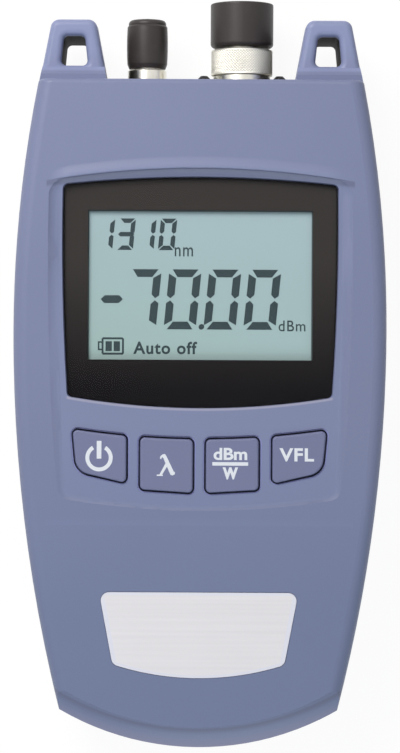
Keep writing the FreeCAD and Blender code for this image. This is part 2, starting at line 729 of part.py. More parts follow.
def bay_box(grow, z0, z1):
    return box(-BAY_HALF - grow, BAY_HALF + grow, BAY_BOTTOM - grow, BAY_TOP + grow, z0, z1)


def door_zone(grow, z0, z1):
    """The door's opening runs from the head of the bay out through the bottom end."""
    return box(-BAY_HALF - grow, BAY_HALF + grow, -FAR, BAY_TOP + grow, z0, z1)


def rails(grow):
    """Tongues along both edges of the door, or their grooves when grown."""
    low = (DOOR_THICKNESS - RAIL_THICKNESS) / 2
    tongue = box(BAY_HALF - 1, BAY_HALF + RAIL_WIDTH + grow, -FAR, BAY_TOP + grow,
                 low - grow, low + RAIL_THICKNESS + grow)
    return tongue.fuse(mirrored(tongue))


def rear_shell():
    body = rear_body()
    room = drafted(PARTING + 0.01, WALL, WALL)
    bay_shell = bay_box(BAY_WALL, WALL, BAY_ROOF_LOW + BAY_ROOF)
    body = body.cut(room.cut(bay_shell.common(room)))
    body = body.fuse(rear_ear()).fuse(mirrored(rear_ear()))
    inner = drafted(PARTING, 0.0, WALL * SINK_SHARE)
    bores = []
    for place in case_screw_places():
        post, bore = boss(place, CASE_BOSS_RADIUS, 0, PARTING, CASE_SCREW_RADIUS + CASE_SCREW_CLEAR)
        body = body.fuse(post.common(inner))
        bores += [bore, cylinder(CASE_HEAD_RADIUS + CASE_SCREW_CLEAR, CASE_HEAD_SINK, V(place.x, place.y, 0))]
    body = cut(body, bores)
    body = body.cut(bay_box(0, DOOR_THICKNESS, BAY_ROOF_LOW))
    body = body.cut(door_zone(0, -1, DOOR_THICKNESS)).cut(rails(DOOR_GAP))
    body = body.cut(along_y(FLANGE_TAIL_RADIUS + PORT_HOLE_GAP, DETECTOR_X, PANEL - WALL * 2, FAR))
    body = body.cut(along_y(LASER_TAIL_RADIUS + PORT_HOLE_GAP, LASER_X, PANEL - WALL * 2, FAR))
    for side in (-1, 1):
        x = DETECTOR_X + side * FLANGE_SCREW_SPACING / 2
        body = body.cut(along_y(FLANGE_SCREW_RADIUS + SCREW_FIT, x, PANEL - WALL * 2, FAR))
    seat = box(-PANEL_HALF_WIDTH, PANEL_HALF_WIDTH, PANEL - WALL * 2, PANEL - PANEL_BACKING,
               PANEL_LOW, PARTING)
    return body.cut(seat).cut(panel_recess(-1, PARTING + 1)).removeSplitter()


def battery_door():
    body = rear_body().common(door_zone(-DOOR_GAP, -1, DOOR_THICKNESS - DOOR_GAP))
    tongue = rails(0).common(rear_body()).common(door_zone(FAR, -1, DOOR_THICKNESS - DOOR_GAP))
    tongue = tongue.common(box(-FAR, FAR, BAY_BOTTOM, BAY_TOP - DOOR_GAP, 0, DOOR_THICKNESS))
    body = body.fuse(tongue).removeSplitter()
    grips = []
    for i in range(GRIP_COUNT):
        y = BAY_TOP - GRIP_START - i * GRIP_PITCH
        grips.append(box(-GRIP_HALF, GRIP_HALF, y - GRIP_PITCH / 4, y + GRIP_PITCH / 4, -1, GRIP_DEPTH))
    return cut(body, grips)


def cell_places():
    for i in range(CELL_COUNT):
        x = (i - (CELL_COUNT - 1) / 2) * CELL_PITCH
        yield x, i % 2 == 0


def batteries():
    cells = []
    for x, nub_up in cell_places():
        low = CELL_LOW_END
        body = cylinder(CELL_RADIUS, CELL_LENGTH - CELL_NUB, V(x, low, CELL_AXIS), V(0, 1, 0))
        ends = edges_where(body, lambda b, e: b.YLength < 0.01)
        body = body.makeChamfer(CELL_EDGE, ends)
        nub = cylinder(CELL_NUB_RADIUS, CELL_LENGTH, V(x, low, CELL_AXIS), V(0, 1, 0))
        cell = body.fuse(nub)
        if not nub_up:
            cell = cell.mirror(V(0, low + CELL_LENGTH / 2, 0), V(0, 1, 0))
        cells.append(cell)
    return Part.makeCompound(cells)


def battery_plates():
    """Flat contacts: one behind each cell's nub."""
    plates = []
    half = CELL_RADIUS * CONTACT_SHARE
    for x, nub_up in cell_places():
        y = BAY_TOP - CONTACT_THICKNESS if nub_up else BAY_BOTTOM
        block = box(x - half, x + half, y, y + CONTACT_THICKNESS, CELL_AXIS - half, CELL_AXIS + half)
        stub_start = CELL_LOW_END + CELL_LENGTH if nub_up else BAY_BOTTOM
        stub_end = BAY_TOP if nub_up else CELL_LOW_END
        stub = cylinder(CELL_NUB_RADIUS * CONTACT_SHARE, stub_end - stub_start,
                        V(x, stub_start, CELL_AXIS), V(0, 1, 0))
        plates.append(block.fuse(stub))
    return Part.makeCompound(plates)


def battery_springs():
    """A leaf, bent back from its plate, presses on each cell's flat end."""
    half = CELL_RADIUS * CONTACT_SHARE
    t = CONTACT_THICKNESS
    reach = SPRING_SPACE + t
    bend = reach / 2
    leaf = [(0, -half), (0, half), (t, half), (reach, LEAF_TOUCH), (reach, -LEAF_TOUCH), (bend, -half),
            (bend - t, -half), (reach - t, -LEAF_TOUCH), (reach - t, LEAF_TOUCH),
            (t, half - 2 * t), (t, -half)]
    springs = []
    for x, nub_up in cell_places():
        wall, inward = (BAY_BOTTOM, 1) if nub_up else (BAY_TOP, -1)
        corners = [V(x - half, wall + inward * y, CELL_AXIS + z) for y, z in leaf + leaf[:1]]
        springs.append(Part.Face(Part.makePolygon(corners)).extrude(V(2 * half, 0, 0)))
    return Part.makeCompound(springs)


def housing_screws():
    screws = []
    for place in case_screw_places():
        base = V(place.x, place.y, CASE_HEAD_SINK)
        screws.append(pan_screw(CASE_SCREW_RADIUS - CASE_SHANK_SET, PARTING - CASE_HEAD_SINK + SCREW_ENGAGEMENT,
                                CASE_HEAD_RADIUS, CASE_HEAD, base, V(0, 0, 1)))
    return Part.makeCompound(screws)


# --- display ----------------------------------------------------------------------------------------
def window_lens():
    lens = rounded_prism(lens_outline(), LENS_LOW, DISH_FLOOR + LENS_PROUD, LENS_CORNER)
    rim = edges_where(lens, lambda b, e: b.ZMin > DISH_FLOOR)
    return lens.makeFillet(LENS_PROUD, rim)


def window_print():
    sheet = rounded_prism(lens_outline(), PRINT_LOW, LENS_LOW, LENS_CORNER)
    clear = box(-VIEW_HALF_WIDTH, VIEW_HALF_WIDTH, -VIEW_BOTTOM, VIEW_TOP, PRINT_LOW - 1, FAR)
    return sheet.cut(clear)


def module_box(grow, z0, z1):
    return box(-VIEW_HALF_WIDTH - grow, VIEW_HALF_WIDTH + grow,
               -VIEW_BOTTOM - grow, VIEW_TOP + grow, z0, z1)


def lcd_glass():
    return module_box(GLASS_MARGIN, GLASS_LOW, GLASS_HIGH)


def lcd_holder():
    """Moulded frame that stands on the board and carries the glass."""
    frame = module_box(GLASS_MARGIN + HOLDER_WALL, BOARD_HIGH, GLASS_HIGH - HOLDER_STEP)
    frame = frame.cut(module_box(GLASS_MARGIN + FIT_GAP, GLASS_LOW, FAR))
    return frame.cut(module_box(GLASS_MARGIN - STRIP_WIDTH - FIT_GAP, BOARD_HIGH - 1, FAR)).cut(
        strip_zone(FIT_GAP, BOARD_HIGH - 1, FAR))


def strip_zone(grow, z0, z1):
    reach = VIEW_HALF_WIDTH - 2
    top = VIEW_TOP + GLASS_MARGIN
    low = -VIEW_BOTTOM - GLASS_MARGIN
    upper = box(-reach - grow, reach + grow, top - STRIP_WIDTH - grow, top, z0, z1)
    lower = box(-reach - grow, reach + grow, low, low + STRIP_WIDTH + grow, z0, z1)
    return upper.fuse(lower)


def zebra_strips():
    return Part.makeCompound(strip_zone(0, BOARD_HIGH, GLASS_LOW).Solids)


def backlight():
    inset = STRIP_WIDTH - GLASS_MARGIN + 2 * FIT_GAP
    slab = module_box(-inset, GLASS_LOW - BACKLIGHT_THICKNESS, GLASS_LOW)
    posts = []
    for x in (-1, 1):
        for y in (-VIEW_BOTTOM + POST_SET, VIEW_TOP - POST_SET):
            foot = V(x * (VIEW_HALF_WIDTH - POST_SET), y, BOARD_HIGH)
            posts.append(cylinder(POST_RADIUS, GLASS_LOW - BOARD_HIGH, foot))
    return fused([slab] + posts)


# --- boards and keys ---------------------------------------------------------------------------------
def main_board():
    board = prism(outline(WALL + BOARD_GAP), BOARD_LOW, BOARD_HIGH)
    board = board.common(box(-FAR, FAR, -BOARD_BOTTOM, BOARD_TOP, 0, FAR))
    holes = [cylinder(SCREW_RADIUS + BOARD_HOLE_CLEAR, BOARD_THICKNESS * 3, V(p.x, p.y, BOARD_LOW - 1))
             for p in board_screw_places()]
    return cut(board, holes)


def board_screws():
    return Part.makeCompound([
        pan_screw(SCREW_RADIUS, BOARD_THICKNESS + SCREW_ENGAGEMENT - 2, SCREW_HEAD_RADIUS, SCREW_HEAD,
                  V(p.x, p.y, BOARD_LOW), V(0, 0, 1)) for p in board_screw_places()])


def shield_can():
    """Tinned cover over the detector's amplifier, under the board."""
    end = BOARD_TOP - CAN_SET
    can = box(DETECTOR_X - CAN_WIDTH / 2, DETECTOR_X + CAN_WIDTH / 2, end - CAN_LENGTH, end,
              BOARD_LOW - CAN_HEIGHT, BOARD_LOW)
    room = box(DETECTOR_X - CAN_WIDTH / 2 + CAN_SKIN, DETECTOR_X + CAN_WIDTH / 2 - CAN_SKIN,
               end - CAN_LENGTH + CAN_SKIN, end - CAN_SKIN, BOARD_LOW - CAN_HEIGHT + CAN_SKIN, BOARD_LOW)
    return can.cut(room)


def chip(x, y, length, width):
    return box(x - length / 2, x + length / 2, y - width / 2, y + width / 2,
               BOARD_LOW - CHIP_HEIGHT, BOARD_LOW)


def board_chips():
    """Processor and display driver left of the cover, converters on its right."""
    left = DETECTOR_X - CAN_WIDTH / 2 - CHIP_SPACE - CHIP_LENGTH / 2
    right = DETECTOR_X + CAN_WIDTH / 2
    y = BOARD_TOP - CAN_SET - CAN_LENGTH
    small = CHIP_LENGTH / 2
    return Part.makeCompound([
        chip(left, y, CHIP_LENGTH, CHIP_LENGTH),
        chip(left, y - CHIP_LENGTH - CHIP_SPACE, CHIP_LENGTH, small),
        chip(right, y - CHIP_SPACE - small, small, small),
        chip(right, y - 2 * CHIP_SPACE - 2 * small, small, small)])


def keypad_mat():
    sheet = box(-MAT_HALF_WIDTH, MAT_HALF_WIDTH, -DISH_BOTTOM + MAT_SET, -KEY_TOP + MAT_RISE,
                BOARD_HIGH, BOARD_HIGH + MAT_THICKNESS)
    return sheet


def flange_low():
    return DISH_UNDER - FLANGE_GAP - FLANGE_THICKNESS


def dome(centre):
    """Hollow rubber cone that springs a key back."""
    base = V(centre.x, centre.y, BOARD_HIGH + MAT_THICKNESS)
    height = stem_low() - base.z
    outer = Part.makeCone(DOME_BASE_RADIUS, STEM_RADIUS, height, base)
    inner = Part.makeCone(DOME_BASE_RADIUS - DOME_SKIN, STEM_RADIUS - DOME_SKIN, height - DOME_SKIN, base)
    return outer.cut(inner)


def stem_low():
    return BOARD_HIGH + MAT_THICKNESS + DOME_HEIGHT


def key(outer):
    """Right-hand key: cap through its opening, a flange under the shell and a stem."""
    cap = key_prism(outer, flange_low(), DISH_FLOOR + KEY_PROUD)
    rim = edges_where(cap, lambda b, e: b.ZMin > DISH_FLOOR)
    cap = cap.makeFillet(KEY_EDGE, rim)
    skirt = key_prism(outer, flange_low(), flange_low() + FLANGE_THICKNESS, FLANGE_WIDTH)
    centre = key_centre(outer)
    stem = cylinder(STEM_RADIUS, flange_low() - stem_low(), V(centre.x, centre.y, stem_low()))
    return fused([cap, skirt, stem])


def name_plate():
    plate = rounded_prism(plate_outline(), PARTING, FAR, PLATE_CORNER)
    plate = plate.common(under_crown(-PLATE_PROUD))
    return plate.cut(under_crown(PLATE_THICKNESS - PLATE_PROUD))


# --- detector port ----------------------------------------------------------------------------------
FLANGE_FACE = PANEL + FLANGE_PLATE
RING_LOW = FLANGE_FACE + SHOULDER_THICKNESS
SPIGOT_END = RING_LOW + SPIGOT_LENGTH
RING_TOP = SPIGOT_END + INSERT_FLANGE + RING_GAP / 2 + RING_LIP


def detector_flange():
    plate = box(DETECTOR_X - FLANGE_HALF_LENGTH, DETECTOR_X + FLANGE_HALF_LENGTH, PANEL, FLANGE_FACE,
                PORT_HEIGHT - FLANGE_HALF_HEIGHT, PORT_HEIGHT + FLANGE_HALF_HEIGHT)
    plate = plate.makeFillet(FLANGE_CORNER, edges_where(plate, lambda b, e: b.YLength > 0.5))
    neck = along_y(SHOULDER_RADIUS, DETECTOR_X, PANEL, RING_LOW)
    spigot = along_y(SPIGOT_RADIUS, DETECTOR_X, PANEL, SPIGOT_END)
    tail = along_y(FLANGE_TAIL_RADIUS, DETECTOR_X, PANEL - WALL - DIODE_LENGTH, PANEL)
    body = fused([plate, neck, spigot, tail])
    body = body.cut(along_y(SPIGOT_BORE, DETECTOR_X, PANEL - WALL, FAR))
    body = body.cut(along_y(DIODE_RADIUS, DETECTOR_X, 0, PANEL))
    for side in (-1, 1):
        x = DETECTOR_X + side * FLANGE_SCREW_SPACING / 2
        body = body.cut(along_y(FLANGE_SCREW_RADIUS + BOARD_HOLE_CLEAR, x, 0, FAR))
    return body


def flange_screws():
    return Part.makeCompound([
        pan_screw(FLANGE_SCREW_RADIUS, FLANGE_PLATE + WALL, FLANGE_SCREW_HEAD, FLANGE_SCREW_HEIGHT,
                  V(DETECTOR_X + side * FLANGE_SCREW_SPACING / 2, FLANGE_FACE, PORT_HEIGHT),
                  V(0, -1, 0)) for side in (-1, 1)])


def pins(x, y):
    """Two solder pins behind a can that ends at y."""
    return [cylinder(PIN_RADIUS, PIN_LENGTH, V(x + side * PIN_SPACING / 2, y, PORT_HEIGHT), V(0, -1, 0))
            for side in (-1, 1)]


def photodiode():
    can = along_y(DIODE_RADIUS, DETECTOR_X, PANEL - WALL - DIODE_LENGTH, PANEL - WALL)
    return fused([can] + pins(DETECTOR_X, PANEL - WALL - DIODE_LENGTH))


def detector_adapter():
    """Ferrule tube whose flange the knurled ring clamps onto the spigot."""
    flange = along_y(INSERT_FLANGE_RADIUS, DETECTOR_X, SPIGOT_END, SPIGOT_END + INSERT_FLANGE)
    tube = along_y(INSERT_TUBE_RADIUS, DETECTOR_X, SPIGOT_END, SPIGOT_END + INSERT_TUBE_LENGTH)
    tail = along_y(INSERT_TAIL_RADIUS, DETECTOR_X, SPIGOT_END - INSERT_TAIL_LENGTH, SPIGOT_END)
    body = fused([flange, tube, tail])
    return body.cut(along_y(FERRULE_RADIUS, DETECTOR_X, 0, FAR))


def knurled_ring():
    low = RING_LOW + RING_GAP
    body = along_y(RING_RADIUS, DETECTOR_X, low, RING_TOP)
    ends = edges_where(body, lambda b, e: b.YLength < 0.01)
    body = body.makeChamfer(EDGE_BREAK, ends)
    body = body.cut(along_y(SPIGOT_RADIUS + THREAD_GAP, DETECTOR_X, low - 1, RING_TOP - RING_LIP))
    return body.cut(along_y(INSERT_TUBE_RADIUS + THREAD_GAP, DETECTOR_X, low, FAR))


def detector_cap():
    low = RING_TOP + DETECTOR_CAP_STANDOFF
    body = along_y(DETECTOR_CAP_RADIUS, DETECTOR_X, low, low + DETECTOR_CAP_LENGTH)
    mouth = edges_where(body, lambda b, e: b.YMax < low + 0.01)
    body = body.makeFillet(DETECTOR_CAP_LIP, mouth)
    crown = edges_where(body, lambda b, e: b.YMin > low + DETECTOR_CAP_LENGTH - 0.01)
    body = body.makeFillet(DETECTOR_CAP_EDGE, crown)
    return body.cut(along_y(INSERT_TUBE_RADIUS + CAP_FIT, DETECTOR_X, low - 1,
                            low + DETECTOR_CAP_LENGTH - DETECTOR_CAP_END))


# --- laser port ---------------------------------------------------------------------------------------
BARREL_END = PANEL + BARREL_LENGTH


def laser_receptacle():
    """Turned barrel outside, ferrule tube in front, threaded tail through the wall."""
    barrel = along_y(BARREL_RADIUS, LASER_X, PANEL, BARREL_END)
    rim = edges_where(barrel, lambda b, e: b.YMin > BARREL_END - 0.01)
    barrel = barrel.makeChamfer(EDGE_BREAK, rim)
    tube = along_y(LASER_TUBE_RADIUS, LASER_X, BARREL_END, BARREL_END + LASER_TUBE_LENGTH)
    tail = along_y(LASER_TAIL_RADIUS, LASER_X, PANEL - LASER_TAIL_LENGTH, PANEL)
    body = fused([barrel, tube, tail])
    sleeve_end = BARREL_END + LASER_TUBE_LENGTH - SLEEVE_SINK
    body = body.cut(along_y(SLEEVE_RADIUS, LASER_X, sleeve_end - SLEEVE_LENGTH, sleeve_end))
    body = body.cut(along_y(LIGHT_RADIUS, LASER_X, 0, sleeve_end))
    return body.cut(along_y(FERRULE_RADIUS, LASER_X, sleeve_end, FAR))


def laser_sleeve():
    sleeve_end = BARREL_END + LASER_TUBE_LENGTH - SLEEVE_SINK
    sleeve = along_y(SLEEVE_RADIUS, LASER_X, sleeve_end - SLEEVE_LENGTH, sleeve_end)
    return sleeve.cut(along_y(FERRULE_RADIUS, LASER_X, 0, FAR))


def laser_nut():
    y = PANEL - PANEL_BACKING - LASER_NUT_THICKNESS
    centre = V(LASER_X, y, PORT_HEIGHT)
    corners = [centre + V(math.cos(math.radians(60 * i)), 0, math.sin(math.radians(60 * i)))
               * LASER_NUT_RADIUS for i in range(7)]
    nut = Part.Face(Part.makePolygon(corners)).extrude(V(0, LASER_NUT_THICKNESS, 0))
    return nut.cut(along_y(LASER_TAIL_RADIUS, LASER_X, 0, FAR))


def laser_module():
    end = PANEL - LASER_TAIL_LENGTH
    body = along_y(LASER_MODULE_RADIUS, LASER_X, end - LASER_MODULE_LENGTH, end)
    return fused([body] + pins(LASER_X, end - LASER_MODULE_LENGTH))


def laser_cap():
    low = BARREL_END + LASER_CAP_STANDOFF
    high = low + LASER_CAP_LENGTH
    r = LASER_CAP_RADIUS
    at = lambda radius, y: V(LASER_X + radius, y, PORT_HEIGHT)
    waist = at(r - LASER_CAP_WAIST, high - LASER_CAP_RIDGE)
    ridge = at(r - LASER_CAP_STEP, high - LASER_CAP_RIDGE + LASER_CAP_STEP)
    crown = at(r - LASER_CAP_CROWN, high - LASER_CAP_SAG)
    tip = at(LASER_CAP_CROWN, high)
    mouth = at(r - LASER_CAP_LIP, low)
    belly = at(r - LASER_CAP_WAIST, low + 2 * LASER_CAP_LIP)
    profile = Part.Wire([
        line(at(0, low), mouth), line(mouth, belly),
        arc(belly, at(r, (low + high) / 2), waist), line(waist, ridge),
        arc(ridge, at(r - LASER_CAP_CROWN / 2, high - 2 * LASER_CAP_SAG), crown),
        line(crown, tip), line(tip, at(0, high)), line(at(0, high), at(0, low))])
    body = Part.Face(profile).revolve(V(LASER_X, 0, PORT_HEIGHT), V(0, 1, 0))
    return body.cut(along_y(LASER_TUBE_RADIUS + CAP_FIT, LASER_X, low - 1, high - LASER_CAP_END))


# --- output ---------------------------------------------------------------------------------------------
PIECES = {
    "front_shell": front_shell,
    "rear_shell": rear_shell,
    "battery_door": battery_door,
    "housing_screws": housing_screws,
    "batteries": batteries,
    "battery_plates": battery_plates,
    "battery_springs": battery_springs,
    "window_lens": window_lens,
    "window_print": window_print,
    "lcd_glass": lcd_glass,
    "lcd_holder": lcd_holder,
    "zebra_strips": zebra_strips,
    "backlight": backlight,
    "main_board": main_board,
    "board_screws": board_screws,
    "board_chips": board_chips,
    "shield_can": shield_can,
    "keypad_mat": keypad_mat,
    "key_power": lambda: mirrored(key(True)),
    "key_wavelength": lambda: mirrored(key(False)),
    "key_unit": lambda: key(False),
    "key_laser": lambda: key(True),
    "dome_power": lambda: mirrored(dome(key_centre(True))),
    "dome_wavelength": lambda: mirrored(dome(key_centre(False))),
    "dome_unit": lambda: dome(key_centre(False)),
    "dome_laser": lambda: dome(key_centre(True)),
    "name_plate": name_plate,
    "detector_flange": detector_flange,
    "flange_screws": flange_screws,
    "photodiode": photodiode,
    "detector_adapter": detector_adapter,
    "knurled_ring": knurled_ring,
    "detector_cap": detector_cap,
    "laser_receptacle": laser_receptacle,
    "laser_sleeve": laser_sleeve,
    "laser_nut": laser_nut,
    "laser_module": laser_module,
    "laser_cap": laser_cap,
}

os.makedirs("parts", exist_ok=True)
for name, make in PIECES.items():
    make().exportStep("parts/" + name + ".step")
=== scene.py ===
import bpy
import json
import math
from mathutils import Matrix, Vector
from mathutils.bvhtree import BVHTree


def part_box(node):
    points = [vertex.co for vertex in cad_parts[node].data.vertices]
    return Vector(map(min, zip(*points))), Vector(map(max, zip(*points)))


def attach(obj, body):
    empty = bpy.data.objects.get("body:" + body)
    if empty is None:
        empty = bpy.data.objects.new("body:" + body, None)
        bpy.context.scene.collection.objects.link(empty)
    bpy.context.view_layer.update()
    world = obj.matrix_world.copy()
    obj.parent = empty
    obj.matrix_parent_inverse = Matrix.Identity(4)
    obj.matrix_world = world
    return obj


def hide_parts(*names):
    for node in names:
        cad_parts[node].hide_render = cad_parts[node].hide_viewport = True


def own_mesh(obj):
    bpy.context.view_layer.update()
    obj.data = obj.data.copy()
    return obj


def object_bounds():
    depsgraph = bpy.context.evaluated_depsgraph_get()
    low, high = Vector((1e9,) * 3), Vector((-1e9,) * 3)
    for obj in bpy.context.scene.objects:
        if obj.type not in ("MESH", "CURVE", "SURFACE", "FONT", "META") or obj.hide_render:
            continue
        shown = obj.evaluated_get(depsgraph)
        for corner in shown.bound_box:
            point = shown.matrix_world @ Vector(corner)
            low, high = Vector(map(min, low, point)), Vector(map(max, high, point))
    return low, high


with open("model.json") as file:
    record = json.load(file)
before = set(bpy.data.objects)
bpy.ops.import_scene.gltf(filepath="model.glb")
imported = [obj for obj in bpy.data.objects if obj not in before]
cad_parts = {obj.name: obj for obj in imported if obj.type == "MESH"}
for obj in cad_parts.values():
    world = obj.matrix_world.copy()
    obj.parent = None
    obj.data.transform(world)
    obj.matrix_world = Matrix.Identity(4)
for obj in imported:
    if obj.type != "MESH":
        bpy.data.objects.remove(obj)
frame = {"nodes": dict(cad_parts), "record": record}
cad_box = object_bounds()


# --- measures, in metres ----------------------------------------------------------------
MM = 0.001
HOUSING = "housing"

window_low, window_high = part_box("window_lens")
glass_low, glass_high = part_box("lcd_glass")
plate_low, plate_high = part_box("name_plate")
key_low, key_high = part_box("key_wavelength")
ring_low, ring_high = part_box("knurled_ring")

LENS_HALF_TOP = 0.02935       # half the lens's width at its upper corners
LENS_HALF_LOW = 0.02825       # and at its lower ones
LENS_SIDE_SAG = 0.0005        # its sides bow out by this much
LENS_TOP_BOW = 0.00165 / LENS_HALF_TOP ** 2     # how fast its ends fall away from its middle
LENS_LOW_BOW = 0.0024 / LENS_HALF_LOW ** 2
PRINT_EDGE_SHADOW = 0.0006              # width of the dark line of painted shadow round the print, at the lens's edge
GLASS_MARGIN = 0.0023         # the glass that the print covers, each side
EDGE_SHADE = 0.0003                 # width of the dark line of painted shade on the glass just inside the print

DISH_EDGE = window_high[1] + 0.0018             # the dish's upper edge on the centreline
DISH_BOW = 1 / 0.382          # half the curvature of that edge
DISH_END = key_low[1] - 0.0065                  # its lowest point, on the centreline
DISH_SIDE = (0.0328, 0.033)   # its own tones end between these, out from the middle
DISH_FLOOR = window_high[2] - 0.00013           # the lens stands just proud of it
FEATHER = 0.0003              # how softly one tone meets the next
REBATE_TOP = key_high[1] + 0.0012               # the key openings lie below this
WALL_INNER = (0.0296, 0.0304)  # the dish's side walls rise over these, out from the middle
WALL_OUTER = (0.0352, 0.036)
WALL_TOP = (0.006, 0.022)     # and run out upwards over these, along the meter
WALL_END = (-0.04, -0.034)    # and downwards over these

BROW_HALF = 0.0325            # half the width of the swell over the dish
BROW_RISE = 0.0029            # it runs out into the face over this far
BROW_HEIGHT = 0.36 * MM

EAR_FOOT = 0.0556             # Y where the lanyard ears begin
LOW_END_SHADE = (-0.02, -0.06)      # the face turns darker and bluer between these, painted shade
BEVEL_CENTRE = -0.0247        # Y that the bottom bevel is turned about
BEVEL_TURN = 0.0604           # radius of its upper edge
BEVEL_START = (-0.055, -0.05)  # its tones lie below these

RING_CENTRE = [(a + b) / 2 for a, b in zip(ring_low, ring_high)]
RING_RADIUS = (ring_high[0] - ring_low[0]) / 2
KNURL_DEPTH = 0.12 * MM


# --- shader nodes -----------------------------------------------------------------------
class Value:
    """A shader socket that can be used in sums like a number."""

    def __init__(self, net, socket):
        self.net = net
        self.socket = socket

    def __add__(self, other):
        return self.net.sum("ADD", self, other)

    def __radd__(self, other):
        return self.net.sum("ADD", other, self)

    def __sub__(self, other):
        return self.net.sum("SUBTRACT", self, other)

    def __rsub__(self, other):
        return self.net.sum("SUBTRACT", other, self)

    def __mul__(self, other):
        return self.net.sum("MULTIPLY", self, other)

    def __rmul__(self, other):
        return self.net.sum("MULTIPLY", other, self)

    def __truediv__(self, other):
        return self.net.sum("DIVIDE", self, other)

    def __pow__(self, other):
        return self.net.sum("POWER", self, other)

    def clamped(self):
        return self.net.node("ShaderNodeClamp", {}, Value=self)

    def smooth(self, low, high):
        """0 below low, 1 above high, and an even slope between."""
        return ((self - low) / (high - low)).clamped()


class Net:
    """The nodes of one material, ending in its surface, or of the world."""

    def __init__(self, name, owner=None):
        self.material = owner or bpy.data.materials.new(name)
        self.material.use_nodes = True
        self.tree = self.material.node_tree
        self.tree.nodes.clear()
        self.place = self.node("ShaderNodeTexCoord", {"out": "Object"})
        split = self.make("ShaderNodeSeparateXYZ", {}, {"Vector": self.place})
        self.x, self.y, self.z = (Value(self, split.outputs[i]) for i in range(3))

    def make(self, kind, settings, inputs):
        made = self.tree.nodes.new(kind)
        for key, value in settings.items():
            setattr(made, key, value)
        for name, value in inputs.items():
            self.feed(made.inputs[name], value)
        return made

    def node(self, kind, settings, **inputs):
        """A node of any kind: its settings first, then its inputs. "out" names its output."""
        settings = dict(settings)
        out = settings.pop("out", 0)
        named = {key.replace("_", " "): value for key, value in inputs.items()}
        return Value(self, self.make(kind, settings, named).outputs[out])

    def feed(self, socket, value):
        if isinstance(value, Value):
            self.tree.links.new(value.socket, socket)
        elif isinstance(value, tuple) and len(value) == 3 and len(socket.default_value) == 4:
            socket.default_value = value + (1.0,)
        else:
            socket.default_value = value

    def sum(self, operation, a, b):
        made = self.make("ShaderNodeMath", {"operation": operation}, {})
        self.feed(made.inputs[0], a)
        self.feed(made.inputs[1], b)
        return Value(self, made.outputs[0])

    def noise(self, scale, detail=2.0, rough=0.5):
        """Even noise between 0 and 1; scale is in grains per metre."""
        return self.node("ShaderNodeTexNoise", {"out": "Fac"}, Vector=self.place,
                         Scale=scale, Detail=detail, Roughness=rough)

    def blend(self, amount, a, b):
        """Colour a where amount is 0 and b where it is 1."""
        made = self.make("ShaderNodeMix", {"data_type": "RGBA"}, {})
        self.feed(made.inputs[0], amount)
        self.feed(made.inputs[6], a)
        self.feed(made.inputs[7], b)
        return Value(self, made.outputs[2])

    def bump(self, height, depth, under=None):
        """A normal from a height between 0 and 1; depth is in metres, under a coarser normal."""
        inputs = {"Height": height, "Distance": depth, "Strength": 1.0}
        if under:
            inputs["Normal"] = under
        return self.node("ShaderNodeBump", {"out": "Normal"}, **inputs)

    def true_normal(self):
        """The face's own normal, without the smoothing that bends it on a large flat face."""
        return self.node("ShaderNodeNewGeometry", {"out": "True Normal"})

    def between(self, amount, a, b):
        """Vector a where amount is 0 and b where it is 1."""
        made = self.make("ShaderNodeMix", {"data_type": "VECTOR"}, {})
        self.feed(made.inputs[0], amount)
        self.feed(made.inputs[4], a)
        self.feed(made.inputs[5], b)
        return Value(self, made.outputs[1])

    def across(self):
        """The distance from the centreline."""
        return self.node("ShaderNodeMath", {"operation": "ABSOLUTE"}, Value=self.x)

    def mixed(self, amount, a, b):
        """End the material in two shaders, mixed."""
        made = self.make("ShaderNodeMixShader", {}, {"Fac": amount})
        self.tree.links.new(a.socket, made.inputs[1])
        self.tree.links.new(b.socket, made.inputs[2])
        return self.finish(Value(self, made.outputs[0]))

    def seen_by(self, *rays):
        """1 where one of the named kinds of ray looks, such as "Is Camera Ray"."""
        path = self.make("ShaderNodeLightPath", {}, {})
        total = Value(self, path.outputs[rays[0]])
        for ray in rays[1:]:
            total = total + Value(self, path.outputs[ray])
        return total.clamped()

    def finish(self, shader, output="ShaderNodeOutputMaterial"):
        out = self.make(output, {}, {})
        self.tree.links.new(shader.socket, out.inputs["Surface"])
        return self.material

    def surface(self, **inputs):
        """End the material in a principled surface."""
        return self.finish(self.node("ShaderNodeBsdfPrincipled", {"out": "BSDF"}, **inputs))


def srgb(r, g, b):
    """A display colour, 0 to 255, as linear light."""
    def one(c):
        c /= 255
        return c / 12.92 if c <= 0.04045 else ((c + 0.055) / 1.055) ** 2.4
    return one(r), one(g), one(b)


def shade(colour, factor):
    """A colour made lighter or darker."""
    return tuple(min(1.0, c * factor) for c in colour)


def beyond(bow, near, far):
    """0 up to near from the middle and 1 past far; bow is the squared distance."""
    return bow.smooth(near ** 2, far ** 2)


# --- materials --------------------------------------------------------------------------
GRAIN = 2600              # spark-eroded grain of the moulds, per metre
GRAIN_DEPTH = 0.00002
GRAIN_SPREAD = 0.14       # how far the grain varies the roughness
FLOW_SPREAD = 0.06        # and how far the flow of the plastic does
FLOW_SHARE = 0.7          # the flow's share in the mottling of the colour


def moulded(name, colour, roughness, grain=GRAIN, depth=GRAIN_DEPTH, specular=0.4, mottle=0.05):
    """Injection-moulded plastic: fine spark-eroded grain and faint flow mottling."""
    net = Net(name)
    flow = net.noise(45, 3)
    fine = net.noise(grain, 2, 0.6)
    base = net.blend(flow * FLOW_SHARE + fine * (1 - FLOW_SHARE),
                     shade(colour, 1 - mottle), shade(colour, 1 + mottle))
    rough = roughness + (fine - 0.5) * GRAIN_SPREAD + (flow - 0.5) * FLOW_SPREAD
    return net.surface(Base_Color=base, Roughness=rough, Specular_IOR_Level=specular,
                       Normal=net.bump(fine, depth))


